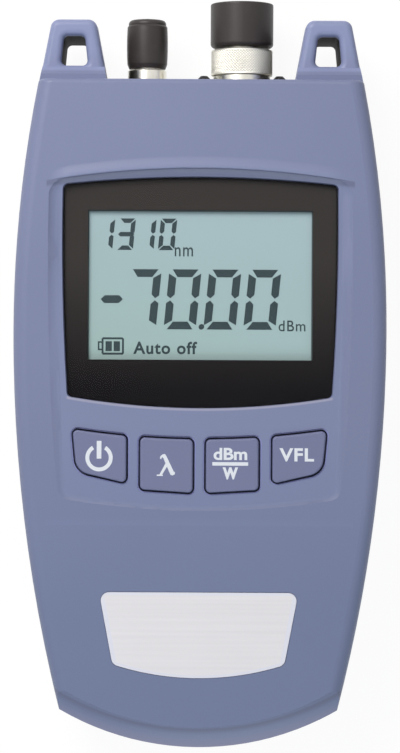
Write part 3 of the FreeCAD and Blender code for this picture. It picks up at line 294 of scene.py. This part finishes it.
def painted_dish_light(net, bow, base, colour):
    """The dish's painted light and shade: a paler floor and a paler swell over the dish for the
    light they catch, painted shade in the cove over the window, a painted highlight along the
    window's lower edge, and paler, bluer key openings that lighten their shade. Also returns where
    the floor is."""
    above = net.y + bow * DISH_BOW - DISH_EDGE
    inside = (1 - beyond(bow, *DISH_SIDE)) * (1 - above.smooth(0.0, FEATHER))
    inside = inside * net.y.smooth(DISH_END, DISH_END + FEATHER)
    floor = (1 - net.z.smooth(DISH_FLOOR, DISH_FLOOR + 0.0001)) * inside
    floor_light_span = (0.03, -0.02)            # painted light, paler towards the keys
    base = net.blend(floor * net.y.smooth(*floor_light_span), base, shade(colour, 1.08))

    # painted shade: the cove over the window is drawn darker
    cove = (net.y + bow * LENS_TOP_BOW - window_high[1]).smooth(-FEATHER, FEATHER) * inside
    base = net.blend(cove, base, shade(colour, 0.72))

    # painted highlight: a bright line along the window's lower edge
    highlight_half, highlight_end = 0.0004, (0.0282, 0.0286)
    painted_edge_highlight = (net.y - bow * LENS_LOW_BOW - window_low[1] + FEATHER) / highlight_half
    painted_edge_highlight = (1 - painted_edge_highlight * painted_edge_highlight).clamped() * floor * (1 - beyond(bow, *highlight_end))
    base = net.blend(painted_edge_highlight * 0.55, base, srgb(190, 188, 205))

    # painted light: the swell over the dish is drawn paler
    swell = (1 - above.smooth(0.0, BROW_RISE)) * above.smooth(-0.0012, 0.0)
    swell = swell * swell * (3 - 2 * swell)
    swell = swell * (1 - bow.smooth(BROW_HALF * BROW_HALF * 0.8, BROW_HALF * BROW_HALF))
    base = net.blend(swell * (1 - cove), base, shade(colour, 1.1))

    # painted light: the key openings are drawn paler and bluer, softening their shade
    painted_rebate_light = inside * (1 - net.z.smooth(DISH_FLOOR - 0.0002, DISH_FLOOR - 0.00008))
    painted_rebate_light = painted_rebate_light * (1 - net.y.smooth(REBATE_TOP, REBATE_TOP + 0.0002))
    return net.blend(painted_rebate_light, base, srgb(150, 156, 204)), floor


def painted_bevel_shading(net, bow, base, colour):
    """Painted shade: a dark line just past the bevel's upper edge; and painted light: a warmer,
    paler rim below it.
    """
    line_start, line_end, rim = (0.0, 0.0004), (0.0006, 0.0018), (0.002, 0.0054)
    along = net.y - BEVEL_CENTRE
    past = (bow + along * along - BEVEL_TURN * BEVEL_TURN) / (2 * BEVEL_TURN)
    past = past * (1 - net.y.smooth(*BEVEL_START))
    # painted shade along the bevel's crease, then painted light on its rim
    line = past.smooth(*line_start) * (1 - past.smooth(*line_end))
    base = net.blend(line * 0.9, base, shade(colour, 0.72))
    return net.blend(past.smooth(*rim) * 0.8, base, srgb(150, 146, 170))


def front_moulding(name, colour):
    """The front shell: grained, polished finer on the dish's floor, with painted light and shade
    in the dish and on the bevel, painted light on the ears, and painted shade, bluer, towards its
    lower end."""
    net = Net(name)
    flow = net.noise(38, 3)
    fine = net.noise(GRAIN, 2, 0.6)
    bow = net.x * net.x
    base = net.blend(flow * FLOW_SHARE + fine * (1 - FLOW_SHARE),
                     shade(colour, 0.95), shade(colour, 1.05))
    base, floor = painted_dish_light(net, bow, base, colour)
    # painted light: the ears are drawn paler
    base = net.blend(net.y.smooth(EAR_FOOT, EAR_FOOT + 0.0005), base, shade(colour, 1.28))
    # painted shade: darker and bluer towards the lower end
    base = net.blend(net.y.smooth(*LOW_END_SHADE) * 0.5, base, srgb(113, 127, 160))
    base = painted_bevel_shading(net, bow, base, colour)
    rough = 0.42 + (fine - 0.5) * GRAIN_SPREAD + (flow - 0.5) * FLOW_SPREAD - floor * 0.05

    # The side walls run out so gently that their shading needs evening out.
    wall = beyond(bow, *WALL_INNER) * (1 - beyond(bow, *WALL_OUTER))
    wall = wall * (1 - net.y.smooth(*WALL_TOP)) * net.y.smooth(*WALL_END)
    own = net.node("ShaderNodeNewGeometry", {"out": "Normal"})
    evened = net.between(wall * 0.7, own, (0.0, 0.0, 1.0))
    return net.surface(Base_Color=base, Roughness=rough, Specular_IOR_Level=0.35,
                       Normal=net.bump(fine, GRAIN_DEPTH, evened))


def knurled_metal(name, ridge, groove, centre, radius, depth):
    """Plated knurl: painted light on the ridges and painted shade down in the cuts."""
    net = Net(name)
    across, up = net.x - centre[0], net.z - centre[2]
    out = (across * across + up * up) ** 0.5
    top = out.smooth(radius - depth, radius)
    stain = net.noise(700, 3)
    # painted light and shade: ridges drawn bright, cuts drawn dull
    base = net.blend(top * 0.8 + stain * 0.2, groove, ridge)
    return net.surface(Base_Color=base, Metallic=1.0, Roughness=0.44 + stain * 0.1 - top * 0.06,
                       Normal=net.bump(stain, 0.000004))


def soft_rubber(name, colour, roughness):
    """Matt rubber with a little dust on it."""
    net = Net(name)
    fine = net.noise(1500, 3, 0.6)
    dust = net.noise(220, 4, 0.6).smooth(0.55, 0.8)
    base = net.blend(dust * 0.25, colour, shade(colour, 1.9))
    rough = roughness + (fine - 0.5) * 0.16 + dust * 0.06
    return net.surface(Base_Color=base, Roughness=rough, Specular_IOR_Level=0.35,
                       Normal=net.bump(fine, 0.00002))


def turned_metal(name, colour, roughness):
    """Plated turned metal with fine tool rings along the port axis."""
    net = Net(name)
    rings = net.node("ShaderNodeTexWave", {"out": "Fac", "bands_direction": "Y"}, Vector=net.place,
                     Scale=2200.0, Distortion=0.6, Detail=2.0)
    stain = net.noise(350, 3)
    base = net.blend(stain, shade(colour, 0.94), shade(colour, 1.04))
    rough = roughness + (rings - 0.5) * 0.08 + (stain - 0.5) * 0.1
    return net.surface(Base_Color=base, Metallic=1.0, Roughness=rough,
                       Normal=net.bump(rings, 0.000004))


def brushed_foil(name, colour, low, high):
    """Blank silver-grey plate: faint brushing across it and a polished border."""
    net = Net(name)
    stretch = net.node("ShaderNodeMapping", {"vector_type": "POINT"}, Vector=net.place,
                       Scale=(24.0, 1700.0, 1700.0))
    brushing = net.node("ShaderNodeTexNoise", {"out": "Fac"}, Vector=stretch, Scale=1.0,
                        Detail=3.0)
    cloud = net.noise(60, 2)
    border, soft = 0.0007, 0.0002
    inset = 0.0029                        # of the lower corners, from the foot and the side
    corner, half_low = low[1] + inset, high[0] - inset
    side = half_low + (net.y - corner) * ((high[0] - half_low) / (high[1] - corner))
    foot = low[1] + net.x * net.x * ((corner - low[1]) / half_low ** 2)
    rim = (net.across() - side + border).smooth(0.0, soft)
    rim = rim + net.y.smooth(high[1] - border, high[1] - border + soft)
    rim = (rim + (foot + border - net.y).smooth(0.0, soft)).clamped()
    base = net.blend(brushing * 0.7 + cloud * 0.3, shade(colour, 0.9), shade(colour, 1.06))
    base = net.blend(rim, base, srgb(240, 241, 252))
    return net.surface(Base_Color=base, Roughness=0.36 + (brushing - 0.5) * 0.1 - rim * 0.12,
                       Specular_IOR_Level=0.35, Normal=net.bump(brushing, 0.000003))


def clear_lens(name):
    """Hard-coated acrylic: clear, with a faint mirror that is a little uneven."""
    net = Net(name)
    ripple = net.noise(30, 1)
    clear = net.node("ShaderNodeBsdfTransparent", {"out": "BSDF"}, Color=(0.99, 0.995, 0.995, 1))
    gloss = net.node("ShaderNodeBsdfAnisotropic", {"out": "BSDF"}, Color=(1, 1, 1, 1),
                     Roughness=0.05, Normal=net.bump(ripple, 0.000002, net.true_normal()))
    mirror = net.node("ShaderNodeFresnel", {"out": "Fac"}, IOR=1.15)
    inside = net.node("ShaderNodeNewGeometry", {"out": "Backfacing"})
    return net.mixed(mirror * (1 - inside), clear, gloss)


def window_black(name, low, high, dark, light):
    """Print behind the lens: black at the foot, painted lighter, brown-grey, above, with a black
    line of painted shadow along its edge.
    """
    net = Net(name)
    speck = net.noise(900, 2)
    # painted light: the print turns from black at the foot to brown-grey above
    base = net.blend(net.y.smooth(low[1] + 0.004, high[1] - 0.018), dark, light)
    share = net.y.smooth(low[1], high[1])
    side = (LENS_HALF_LOW + (LENS_HALF_TOP - LENS_HALF_LOW) * share
            + 4 * LENS_SIDE_SAG * share * (1 - share))
    top = net.y + net.x * net.x * LENS_TOP_BOW - high[1]
    # painted shadow: a black line along the print's sides and top, at the lens's edge
    outline = (net.across() - side + PRINT_EDGE_SHADOW).smooth(0.0, FEATHER)
    outline = (outline + (top + PRINT_EDGE_SHADOW).smooth(0.0, FEATHER)).clamped()
    base = net.blend(outline * 0.8, base, srgb(16, 14, 20))
    return net.surface(Base_Color=base, Roughness=0.5 + speck * 0.1, Specular_IOR_Level=0.05,
                       Normal=net.bump(speck, 0.000002, net.true_normal()))


def display_glass(name, low, high, top, bottom):
    """Reflective liquid-crystal glass, grey-green, with faint cell mottling, painted light towards
    the right and a dark line of painted shade just inside the window."""
    net = Net(name)
    mottle = net.noise(160, 3)
    base = net.blend(net.y.smooth(low[1], high[1]), bottom, top)
    # painted light: lighter towards the right
    base = net.blend(net.x.smooth(low[0], high[0]) * 0.5, base, shade(top, 1.12))
    base = net.blend(mottle * 0.12, base, shade(top, 0.85))
    # painted shade: a dark line just inside the window on the top and sides
    reach, soft = GLASS_MARGIN + EDGE_SHADE, 0.0001
    edge_shade = (low[0] + reach - net.x).smooth(0.0, soft)
    edge_shade = edge_shade + (net.y - high[1] + reach).smooth(0.0, soft)
    edge_shade = (edge_shade + (net.x - high[0] + reach).smooth(0.0, soft)).clamped()
    base = net.blend(edge_shade * 0.85, base, srgb(34, 40, 46))
    return net.surface(Base_Color=base, Roughness=0.4 + mottle * 0.1, Specular_IOR_Level=0.2)


def ink(name, colour):
    net = Net(name)
    speck = net.noise(5000, 2)
    base = net.blend(speck * 0.3, colour, shade(colour, 0.85))
    return net.surface(Base_Color=base, Roughness=0.5 + (speck - 0.5) * 0.1,
                       Specular_IOR_Level=0.3)


def circuit_board(name):
    """Green solder mask with paler tracks under it."""
    net = Net(name)
    tracks = net.node("ShaderNodeTexVoronoi", {"out": "Distance", "feature": "DISTANCE_TO_EDGE"},
                      Vector=net.place, Scale=260.0)
    line = 1.0 - tracks.smooth(0.04, 0.09)
    base = net.blend(line, srgb(18, 84, 48), srgb(38, 118, 70))
    return net.surface(Base_Color=base, Roughness=0.38 + line * 0.08,
                       Normal=net.bump(line, 0.00002))


BODY_BLUE = srgb(128, 136, 169)
BLACK = srgb(21, 21, 22)
NICKEL = srgb(240, 237, 226)
STEEL = srgb(176, 176, 178)
# the knurl's painted light on its ridges and painted shade in its cuts
LIT_RIDGE_NICKEL = srgb(254, 252, 242)
SHADED_CUT_NICKEL = srgb(206, 203, 192)

MATERIALS = {
    "blue_grey_plastic": front_moulding("blue grey shell", BODY_BLUE),
    "black_plastic": moulded("black rear shell", BLACK, 0.62, grain=1800, depth=0.00004,
                             specular=0.1, mottle=0.15),
    "key_plastic": moulded("key caps", srgb(121, 126, 160), 0.46, grain=3200, depth=0.00001),
    "clear_acrylic": clear_lens("window lens"),
    # the print's black, and its painted light above
    "black_print": window_black("window print", window_low, window_high,
                                srgb(18, 16, 19), srgb(60, 56, 54)),
    "plate_foil": brushed_foil("name plate foil", srgb(246, 243, 246), plate_low, plate_high),
    "display_glass": display_glass("display glass", glass_low, glass_high,
                                   srgb(173, 195, 200), srgb(170, 196, 191)),
    "white_plastic": moulded("white holder", srgb(214, 214, 208), 0.5),
    "silicone": soft_rubber("grey silicone", srgb(150, 152, 158), 0.6),
    "cap_rubber": soft_rubber("dust caps", srgb(62, 57, 56), 0.4),
    "board_green": circuit_board("circuit board"),
    "chip_black": moulded("chip cases", srgb(34, 34, 36), 0.55, mottle=0.1),
    "nickel": turned_metal("nickel plate", NICKEL, 0.3),
    "tinned_steel": turned_metal("tinned steel", STEEL, 0.34),
    "black_steel": turned_metal("blackened screws", srgb(60, 60, 62), 0.4),
    "screw_steel": turned_metal("zinc screws", srgb(160, 160, 164), 0.35),
    "ceramic": moulded("white ceramic", srgb(236, 236, 230), 0.2, mottle=0.02),
    "cell_wrap": moulded("cell wrap", srgb(48, 62, 96), 0.3, mottle=0.08),
}
KNURL_METAL = knurled_metal("knurled nickel", LIT_RIDGE_NICKEL, SHADED_CUT_NICKEL, RING_CENTRE,
                            RING_RADIUS, KNURL_DEPTH)
WHITE_INK = ink("white key ink", srgb(238, 243, 250))
DIGIT_INK = ink("liquid crystal segments", srgb(50, 66, 71))


# --- objects ----------------------------------------------------------------------------
def placed(name, data):
    """A new object in the scene."""
    thing = bpy.data.objects.new(name, data)
    bpy.context.collection.objects.link(thing)
    return thing


def shaped(name, points, faces):
    """A new mesh."""
    mesh = bpy.data.meshes.new(name)
    mesh.from_pydata(points, [], faces)
    return mesh


def paint_frame():
    """Give every CAD node the material of its slot."""
    slots = {part["node"]: part["material_slot"] for part in frame["record"]["subparts"]}
    for name, piece in frame["nodes"].items():
        piece.data.materials.clear()
        piece.data.materials.append(MATERIALS[slots[name]])
        for face in piece.data.polygons:
            face.material_index = 0


# --- flat printed marks -----------------------------------------------------------------
MARK_DEPTH = 0.03 * MM


class Print:
    """Flat shapes gathered into one thin mesh."""

    def __init__(self):
        self.points = []
        self.faces = []
        self.slabs = 0

    def polygon(self, corners):
        """A thin slab over the given outline, listed anticlockwise. Each is a little thicker
        than the last, so that no two tops lie in one plane."""
        first = len(self.points)
        count = len(corners)
        self.slabs += 1
        top = MARK_DEPTH * (1 + 0.02 * self.slabs)
        self.points += [(x, y, 0.0) for x, y in corners]
        self.points += [(x, y, top) for x, y in corners]
        self.faces.append([first + count + i for i in range(count)])
        self.faces.append([first + i for i in reversed(range(count))])
        for i in range(count):
            j = (i + 1) % count
            self.faces.append([first + i, first + j, first + count + j, first + count + i])

    def bar(self, x0, y0, x1, y1):
        self.polygon([(x0, y0), (x1, y0), (x1, y1), (x0, y1)])

    def ring(self, x, y, inner, outer, start, end, steps=40):
        """Part of a ring between two angles in degrees, as short blocks."""
        for i in range(steps):
            a, b = (math.radians(start + (end - start) * k / steps) for k in (i, i + 1))
            corners = [(outer, a), (outer, b), (inner, b), (inner, a)]
            self.polygon([(x + r * math.cos(t), y + r * math.sin(t)) for r, t in corners])

    def disc(self, x, y, radius, steps=20):
        turns = [2 * math.pi * i / steps for i in range(steps)]
        self.polygon([(x + radius * math.cos(t), y + radius * math.sin(t)) for t in turns])

    def words(self, text, x0, y0, x1, y1, weight, spacing=1.0):
        """Text stretched to fill a box; weight thickens its strokes."""
        curve = bpy.data.curves.new("words", "FONT")
        curve.body = text
        curve.offset = weight
        curve.space_character = spacing
        curve.extrude = 0.5
        thing = placed("words", curve)
        bpy.context.view_layer.update()
        graph = bpy.context.evaluated_depsgraph_get()
        mesh = bpy.data.meshes.new_from_object(thing.evaluated_get(graph))
        xs = [v.co.x for v in mesh.vertices]
        ys = [v.co.y for v in mesh.vertices]
        wide = (x1 - x0) / (max(xs) - min(xs))
        tall = (y1 - y0) / (max(ys) - min(ys))
        first = len(self.points)
        for v in mesh.vertices:
            self.points.append((x0 + (v.co.x - min(xs)) * wide, y0 + (v.co.y - min(ys)) * tall,
                                MARK_DEPTH if v.co.z > 0 else 0.0))
        self.faces += [[first + i for i in face.vertices] for face in mesh.polygons]
        bpy.data.objects.remove(thing)

    def lay(self, name, body, origin, material, slant=0.0):
        """Place the print at origin on a body; slant leans it to the right."""
        lean = math.tan(math.radians(slant))
        mesh = shaped(name, [(x + y * lean, y, z) for x, y, z in self.points], self.faces)
        mesh.validate()
        mesh.transform(Matrix.Translation(origin))
        mesh.materials.append(material)
        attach(placed(name, mesh), body)


def key_mark(node, right, up):
    """A fresh print, and its place: right of and above the middle of a key's top face."""
    low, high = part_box(node)
    middle = Vector(((low[0] + high[0]) / 2, (low[1] + high[1]) / 2, high[2]))
    return Print(), middle + Vector((right, up, 0)) * MM


def add_power_mark():
    """A ring, open at the top, with an upright bar."""
    mark, place = key_mark("key_power", -0.12, -0.42)
    radius, half_stroke = 2.5 * MM, 0.42 * MM
    gap = 31                              # degrees left open on each side of the bar
    mark.ring(0, 0, radius - half_stroke, radius + half_stroke, 90 + gap, 450 - gap)
    mark.bar(-0.5 * MM, -0.2 * MM, 0.5 * MM, 3.6 * MM)
    mark.lay("power_mark", "power_key", place, WHITE_INK)


LAMBDA = [                                # millimetres, each outline clockwise
    [(-0.75, 2.35), (-0.2, 2.45), (0.1, 2.0), (1.75, -1.45), (1.35, -2.15), (0.95, -1.95),
     (-0.55, 1.55)],                                                    # the long stroke
    [(-0.75, 2.35), (-0.55, 1.55), (-0.85, 1.75), (-1.0, 1.35), (-1.3, 1.4),
     (-1.2, 1.95)],                                                     # its upper flick
    [(1.75, -1.45), (1.95, -1.3), (1.9, -1.9), (1.35, -2.15)],          # its lower flick
    [(-0.05, 0.55), (0.3, -0.15), (-0.95, -2.2), (-1.5, -2.2)],         # the short leg
    [(-1.95, -1.95), (-0.65, -1.95), (-0.65, -2.25), (-1.95, -2.25)]]   # its foot


def add_wavelength_mark():
    """The Greek letter lambda."""
    mark, place = key_mark("key_wavelength", -0.1, -0.1)
    for outline in LAMBDA:
        mark.polygon([(x * MM, y * MM) for x, y in reversed(outline)])
    mark.lay("wavelength_mark", "wavelength_key", place, WHITE_INK)


def add_unit_mark():
    mark, place = key_mark("key_unit", -0.4, 0.27)
    mark.words("dBm", -3.6 * MM, 0.85 * MM, 3.6 * MM, 3.45 * MM, 0.03)
    mark.bar(-3.85 * MM, -0.35 * MM, 3.8 * MM, 0.4 * MM)
    mark.words("W", -1.65 * MM, -3.3 * MM, 1.65 * MM, -0.7 * MM, 0.06)
    mark.lay("unit_mark", "unit_key", place, WHITE_INK)


def add_laser_mark():
    mark, place = key_mark("key_laser", -0.5, 0.42)
    mark.words("VFL", -3.7 * MM, -1.45 * MM, 3.7 * MM, 1.4 * MM, 0.03, 1.1)
    mark.lay("laser_mark", "laser_key", place, WHITE_INK)


# --- display ----------------------------------------------------------------------------
SEGMENTS = {"0": "abcdef", "1": "bc", "3": "abcdg", "7": "abc", "-": "g"}
SLANT = 5.5                               # degrees that the figures lean
CAPTION_SPACING = 1.12


def digit(mark, character, x, y, width, height, stroke, clip):
    """A seven-segment figure with its lower left corner at x, y. Its segments are mitred with
    a gap between them, and its outer corners are clipped."""
    gap = stroke * 0.14
    cut, trim = stroke * 0.42 * clip, stroke * 0.55 * clip
    half, middle = stroke / 2, height / 2
    inner = width - stroke                # the right segments' inner side
    outer = stroke + gap                  # where a level segment's inner side starts
    shapes = {
        "a": [(cut, height), (outer, height - stroke), (width - outer, height - stroke),
              (width - cut, height)],
        "b": [(width, height - trim), (inner, height - outer), (inner, middle + half + gap),
              (width - half, middle + gap), (width, middle + half)],
        "c": [(width, trim), (width, middle - half), (width - half, middle - gap),
              (inner, middle - half - gap), (inner, outer)],
        "d": [(cut, 0), (width - cut, 0), (width - outer, stroke), (outer, stroke)],
        "e": [(0, trim), (stroke, outer), (stroke, middle - half - gap), (half, middle - gap),
              (0, middle - half)],
        "f": [(0, height - trim), (0, middle + half), (half, middle + gap),
              (stroke, middle + half + gap), (stroke, height - outer)],
        "g": [(0, middle), (half, middle - half), (width - half, middle - half),
              (width, middle), (width - half, middle + half), (half, middle + half)]}
    for letter in SEGMENTS[character]:
        mark.polygon([(x + dx, y + dy) for dx, dy in shapes[letter]])


def add_figures(origin):
    """The reading and the wavelength."""
    mark = Print()
    lean = math.tan(math.radians(SLANT))

    def at(right, down):
        """A place right of and below the clear area's corner, in millimetres."""
        return (right + lean * down) * MM, -down * MM

    def figures(text, right, down, pitch, width, height, stroke, clip):
        for i, character in enumerate(text):
            x, y = at(right + pitch * i, down)
            digit(mark, character, x, y, width * MM, height * MM, stroke * MM, clip)

    figures("1310", 1.67, 8.53, 4.43, 3.5, 6.75, 0.95, 0.5)
    figures("7000", 7.7, 25.5, 8.55, 6.9, 12.85, 1.65, 1.0)
    figures("-", 2.6, 20.75, 0, 4.75, 3.3, 1.65, 1.0)
    x, y = at(24.38, 24.95)
    mark.disc(x, y, 0.6 * MM)
    mark.lay("display_figures", HOUSING, origin, DIGIT_INK, SLANT)


def add_captions(origin):
    """The units and the words, which stand upright."""
    mark = Print()

    def words(text, right, down, width, height, weight):
        mark.words(text, right * MM, -down * MM, (right + width) * MM, (height - down) * MM,
                   weight, CAPTION_SPACING)

    words("nm", 18.6, 9.85, 3.9, 1.95, 0.005)
    words("dBm", 40.95, 25.8, 5.75, 2.3, 0.005)
    words("Auto off", 9.8, 30.85, 13.7, 2.7, 0.025)
    mark.lay("display_captions", HOUSING, origin, DIGIT_INK)


def add_battery_sign(origin):
    """An outlined cell with a hollow nub on the left and two bars of charge."""
    mark = Print()
    left, low, wide, tall, rim = 3.0 * MM, -31.0 * MM, 4.8 * MM, 3.7 * MM, 0.42 * MM
    right, high, half = left + wide, low + tall, rim / 2
    mark.bar(left + half, low, right - half, low + rim)
    mark.bar(left + half, high - rim, right - half, high)
    mark.bar(left, low + half, left + rim, high - half)
    mark.bar(right - rim, low + half, right, high - half)

    nub, line = 0.8 * MM, rim * 0.8
    nub_low, nub_high = low + tall * 0.25, low + tall * 0.68
    for y in (nub_low, nub_high):
        mark.bar(left - nub, y, left, y + line)
    mark.bar(left - nub, nub_low, left - nub + line, nub_high + line)

    for start in (0.85 * MM, 2.6 * MM):
        mark.bar(left + start, low + 1.8 * rim, left + start + 1.35 * MM, high - 2 * rim)
    mark.lay("battery_sign", HOUSING, origin, DIGIT_INK)


def add_display():
    """All that the liquid-crystal glass shows, from the clear area's upper left corner."""
    origin = Vector((glass_low[0] + GLASS_MARGIN, glass_high[1] - GLASS_MARGIN, glass_high[2]))
    add_figures(origin)
    add_captions(origin)
    add_battery_sign(origin)


def add_domes():
    """The keypad's rubber domes, copied onto the housing with meshes of their own."""
    for key in ("power", "wavelength", "unit", "laser"):
        node = "dome_" + key
        thing = placed(node + "_soft", frame["nodes"][node].data.copy())
        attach(thing, HOUSING)
        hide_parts(node)
        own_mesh(thing)


# --- lens -------------------------------------------------------------------------------
AIR = 0.02 * MM
UNDERSIDE = 0.05 * MM                     # all within this of the lens's lowest point


def add_clear_lens():
    """The lens with a hair of air under it, so that it and the print behind it stay two
    surfaces."""
    mesh = frame["nodes"]["window_lens"].data.copy()
    mesh.name = "window_lens_clear"
    for vertex in mesh.vertices:
        if vertex.co.z < window_low[2] + UNDERSIDE:
            vertex.co.z += AIR
    thing = placed("window_lens_clear", mesh)
    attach(thing, HOUSING)
    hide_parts("window_lens")


# --- brow -------------------------------------------------------------------------------
def eased(share):
    """0 to 1 with a gentle start and end."""
    return share * share * (3 - 2 * share)


def add_brow():
    """The moulding's swell over the display's dish: a skin that rises from the curved face to a
    rounded lip along the dish's upper edge, and runs out into the face above and at both ends."""
    shell = frame["nodes"]["front_shell"].data
    face = BVHTree.FromPolygons([v.co for v in shell.vertices],
                                [p.vertices for p in shell.polygons])
    above = 0.05                          # over everything, to look down from
    set_back = 0.03 * MM                  # from the dish's edge
    lip = 0.25 * MM                       # how far its rounded front runs back
    root = 0.3 * MM                       # its underside lies this deep in the shell
    tuck = 0.015 * MM                     # its outer edge dips this far under the face
    end = 0.16                            # it sinks over this share of its half width
    columns, rows, lip_rows = 120, 16, 4

    def face_height(x, y):
        return face.ray_cast(Vector((x, y, above)), Vector((0, 0, -1)))[0].z

    points, faces = [], []
    for i in range(columns + 1):
        x = BROW_HALF * (2 * i / columns - 1)
        start = DISH_EDGE - DISH_BOW * x * x + set_back
        top = BROW_HEIGHT * eased(min(1.0, (1 - abs(x) / BROW_HALF) / end))
        ground = face_height(x, start)
        points.append((x, start, ground - root))
        for step in range(lip_rows):
            turn = math.radians(90 * step / (lip_rows - 1))
            points.append((x, start + lip * (1 - math.cos(turn)),
                           ground - tuck + top * math.sin(turn)))
        for j in range(1, rows + 1):
            share = j / rows
            y = start + lip + (BROW_RISE - lip) * share
            points.append((x, y, face_height(x, y) - tuck + top * eased(1 - share)))
        y = start + BROW_RISE
        points.append((x, y, face_height(x, y) - root))

    ring = rows + lip_rows + 2            # points in one column, all the way round
    for i in range(columns):
        a, b = i * ring, (i + 1) * ring
        for j in range(ring):
            k = (j + 1) % ring
            faces.append((a + j, b + j, b + k, a + k))
    faces.append(tuple(range(ring)))
    faces.append(tuple(reversed(range(columns * ring, (columns + 1) * ring))))
    mesh = shaped("brow_swell", points, faces)
    for i, polygon in enumerate(mesh.polygons):
        polygon.use_smooth = i < columns * ring and 1 <= i % ring < rows + lip_rows
    mesh.materials.append(MATERIALS["blue_grey_plastic"])
    thing = placed("brow_swell", mesh)
    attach(thing, HOUSING)


# --- knurled ring -----------------------------------------------------------------------
def add_knurled_ring():
    """The ring's diamond knurl as cut into the metal; it stands for the plain turned ring."""
    low, high = ring_low[1], ring_high[1]
    centre = Vector(RING_CENTRE)
    length = high - low
    around, along = 528, 48
    starts = 66                           # threads side by side, in each direction
    plain = 0.09                          # share of the length that the knurl fades over
    chamfer, land = 0.25 * MM, 0.12 * MM
    bore, lip_bore, lip = 5.75 * MM, 4.15 * MM, 1.2 * MM
    climb = length / RING_RADIUS * starts
    points, faces = [], []

    def ring_of(radius_at, y):
        first = len(points)
        for i in range(around):
            turn = 2 * math.pi * i / around
            r = radius_at(turn)
            points.append((centre.x + r * math.cos(turn), y, centre.z + r * math.sin(turn)))
        return first

    def plain_ring(radius, y):
        return ring_of(lambda turn: radius, y)

    def knurl(turn, share):
        """Two crossing threads cut from the rim inwards, fading at both ends."""
        one = abs(math.sin((starts * turn + climb * share) / 2))
        two = abs(math.sin((starts * turn - climb * share) / 2))
        edge = min(1.0, min(share, 1 - share) / plain)
        return KNURL_DEPTH * edge * (1 - min(one, two)) ** 1.5

    rings = [plain_ring(bore, low), plain_ring(RING_RADIUS - chamfer, low)]
    for j in range(along + 1):
        share = j / along
        rings.append(ring_of(lambda turn: RING_RADIUS - knurl(turn, share),
                             low + land + share * (length - 2 * land)))
    rings += [plain_ring(RING_RADIUS - chamfer, high), plain_ring(lip_bore, high),
              plain_ring(lip_bore, high - lip), plain_ring(bore, high - lip)]
    for a, b in zip(rings, rings[1:] + rings[:1]):
        for i in range(around):
            j = (i + 1) % around
            faces.append((a + i, b + i, b + j, a + j))
    mesh = shaped("knurled_ring_cut", points, faces)
    mesh.materials.append(KNURL_METAL)
    thing = placed("knurled_ring_cut", mesh)
    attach(thing, "ring")
    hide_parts("knurled_ring")


# --- stage ------------------------------------------------------------------------------
def backdrop():
    """White paper: the camera and mirrors see it as white, with the object's faint shadow."""
    size = 3.0
    floor = placed("floor", shaped("floor", [(-size, -size, 0), (size, -size, 0), (size, size, 0),
                                             (-size, size, 0)], [(0, 1, 2, 3)]))
    floor.location.z = cad_box[0][2] - 0.0002
    net = Net("white paper")
    seen = net.seen_by("Is Camera Ray", "Is Glossy Ray", "Is Transmission Ray")
    paper = net.node("ShaderNodeBsdfDiffuse", {"out": "BSDF"}, Color=(0.85, 0.85, 0.85, 1))
    white = net.node("ShaderNodeEmission", {"out": "Emission"}, Color=(1, 1, 1, 1),
                     Strength=1.04)
    floor.data.materials.append(net.mixed(seen * 0.9, paper, white))


def softbox(name, place, aim, size, power, colour):
    """A square soft light that faces its aim."""
    light = bpy.data.lights.new(name, "AREA")
    light.shape = "RECTANGLE"
    light.size, light.size_y = size, size
    light.energy = power
    light.color = colour
    thing = placed(name, light)
    thing.location = place
    thing.rotation_euler = (Vector(aim) - Vector(place)).to_track_quat("-Z", "Y").to_euler()


def lighting():
    """A dim white room that mirrors see brighter and the camera sees white, a warm key light
    over the top left corner and a cooler fill light from the near end."""
    world = bpy.data.worlds.new("studio")
    bpy.context.scene.world = world
    net = Net("studio", world)
    mirrored = net.seen_by("Is Glossy Ray")
    seen = net.seen_by("Is Camera Ray", "Is Transmission Ray")
    room, in_mirrors, to_camera = 0.2, 0.68, 0.8
    level = room + mirrored * in_mirrors + seen * (1 - mirrored) * to_camera
    sky = net.node("ShaderNodeBackground", {"out": "Background"}, Color=(1, 1, 1, 1),
                   Strength=level)
    net.finish(sky, "ShaderNodeOutputWorld")
    softbox("key_light", (-0.2, 0.34, 0.43), (0, 0.0, 0.03), 0.3, 2.6, (1.0, 0.975, 0.965))
    softbox("fill_light", (0.1, -1.0, 0.65), (0, -0.03, 0.02), 0.7, 5.0, (0.9, 1.0, 1.06))


def camera():
    """Straight above the meter, a little below its widest place, and turned very slightly."""
    reach = 0.640
    view_height = 0.1606
    centre = Vector((0.00005, -0.0098, 0.0))
    data = bpy.data.cameras.new("camera")
    data.sensor_width = 36.0
    data.lens = data.sensor_width * reach / view_height
    data.clip_start = 0.01
    thing = placed("camera", data)
    thing.location = centre + Vector((0, 0, cad_box[1][2] + reach))
    thing.rotation_euler = (0.0, 0.0, math.radians(0.3))
    bpy.context.scene.camera = thing
    bpy.context.scene.view_settings.view_transform = "Standard"


paint_frame()
add_power_mark()
add_wavelength_mark()
add_unit_mark()
add_laser_mark()
add_display()
add_domes()
add_clear_lens()
add_brow()
add_knurled_ring()
backdrop()
lighting()
camera()
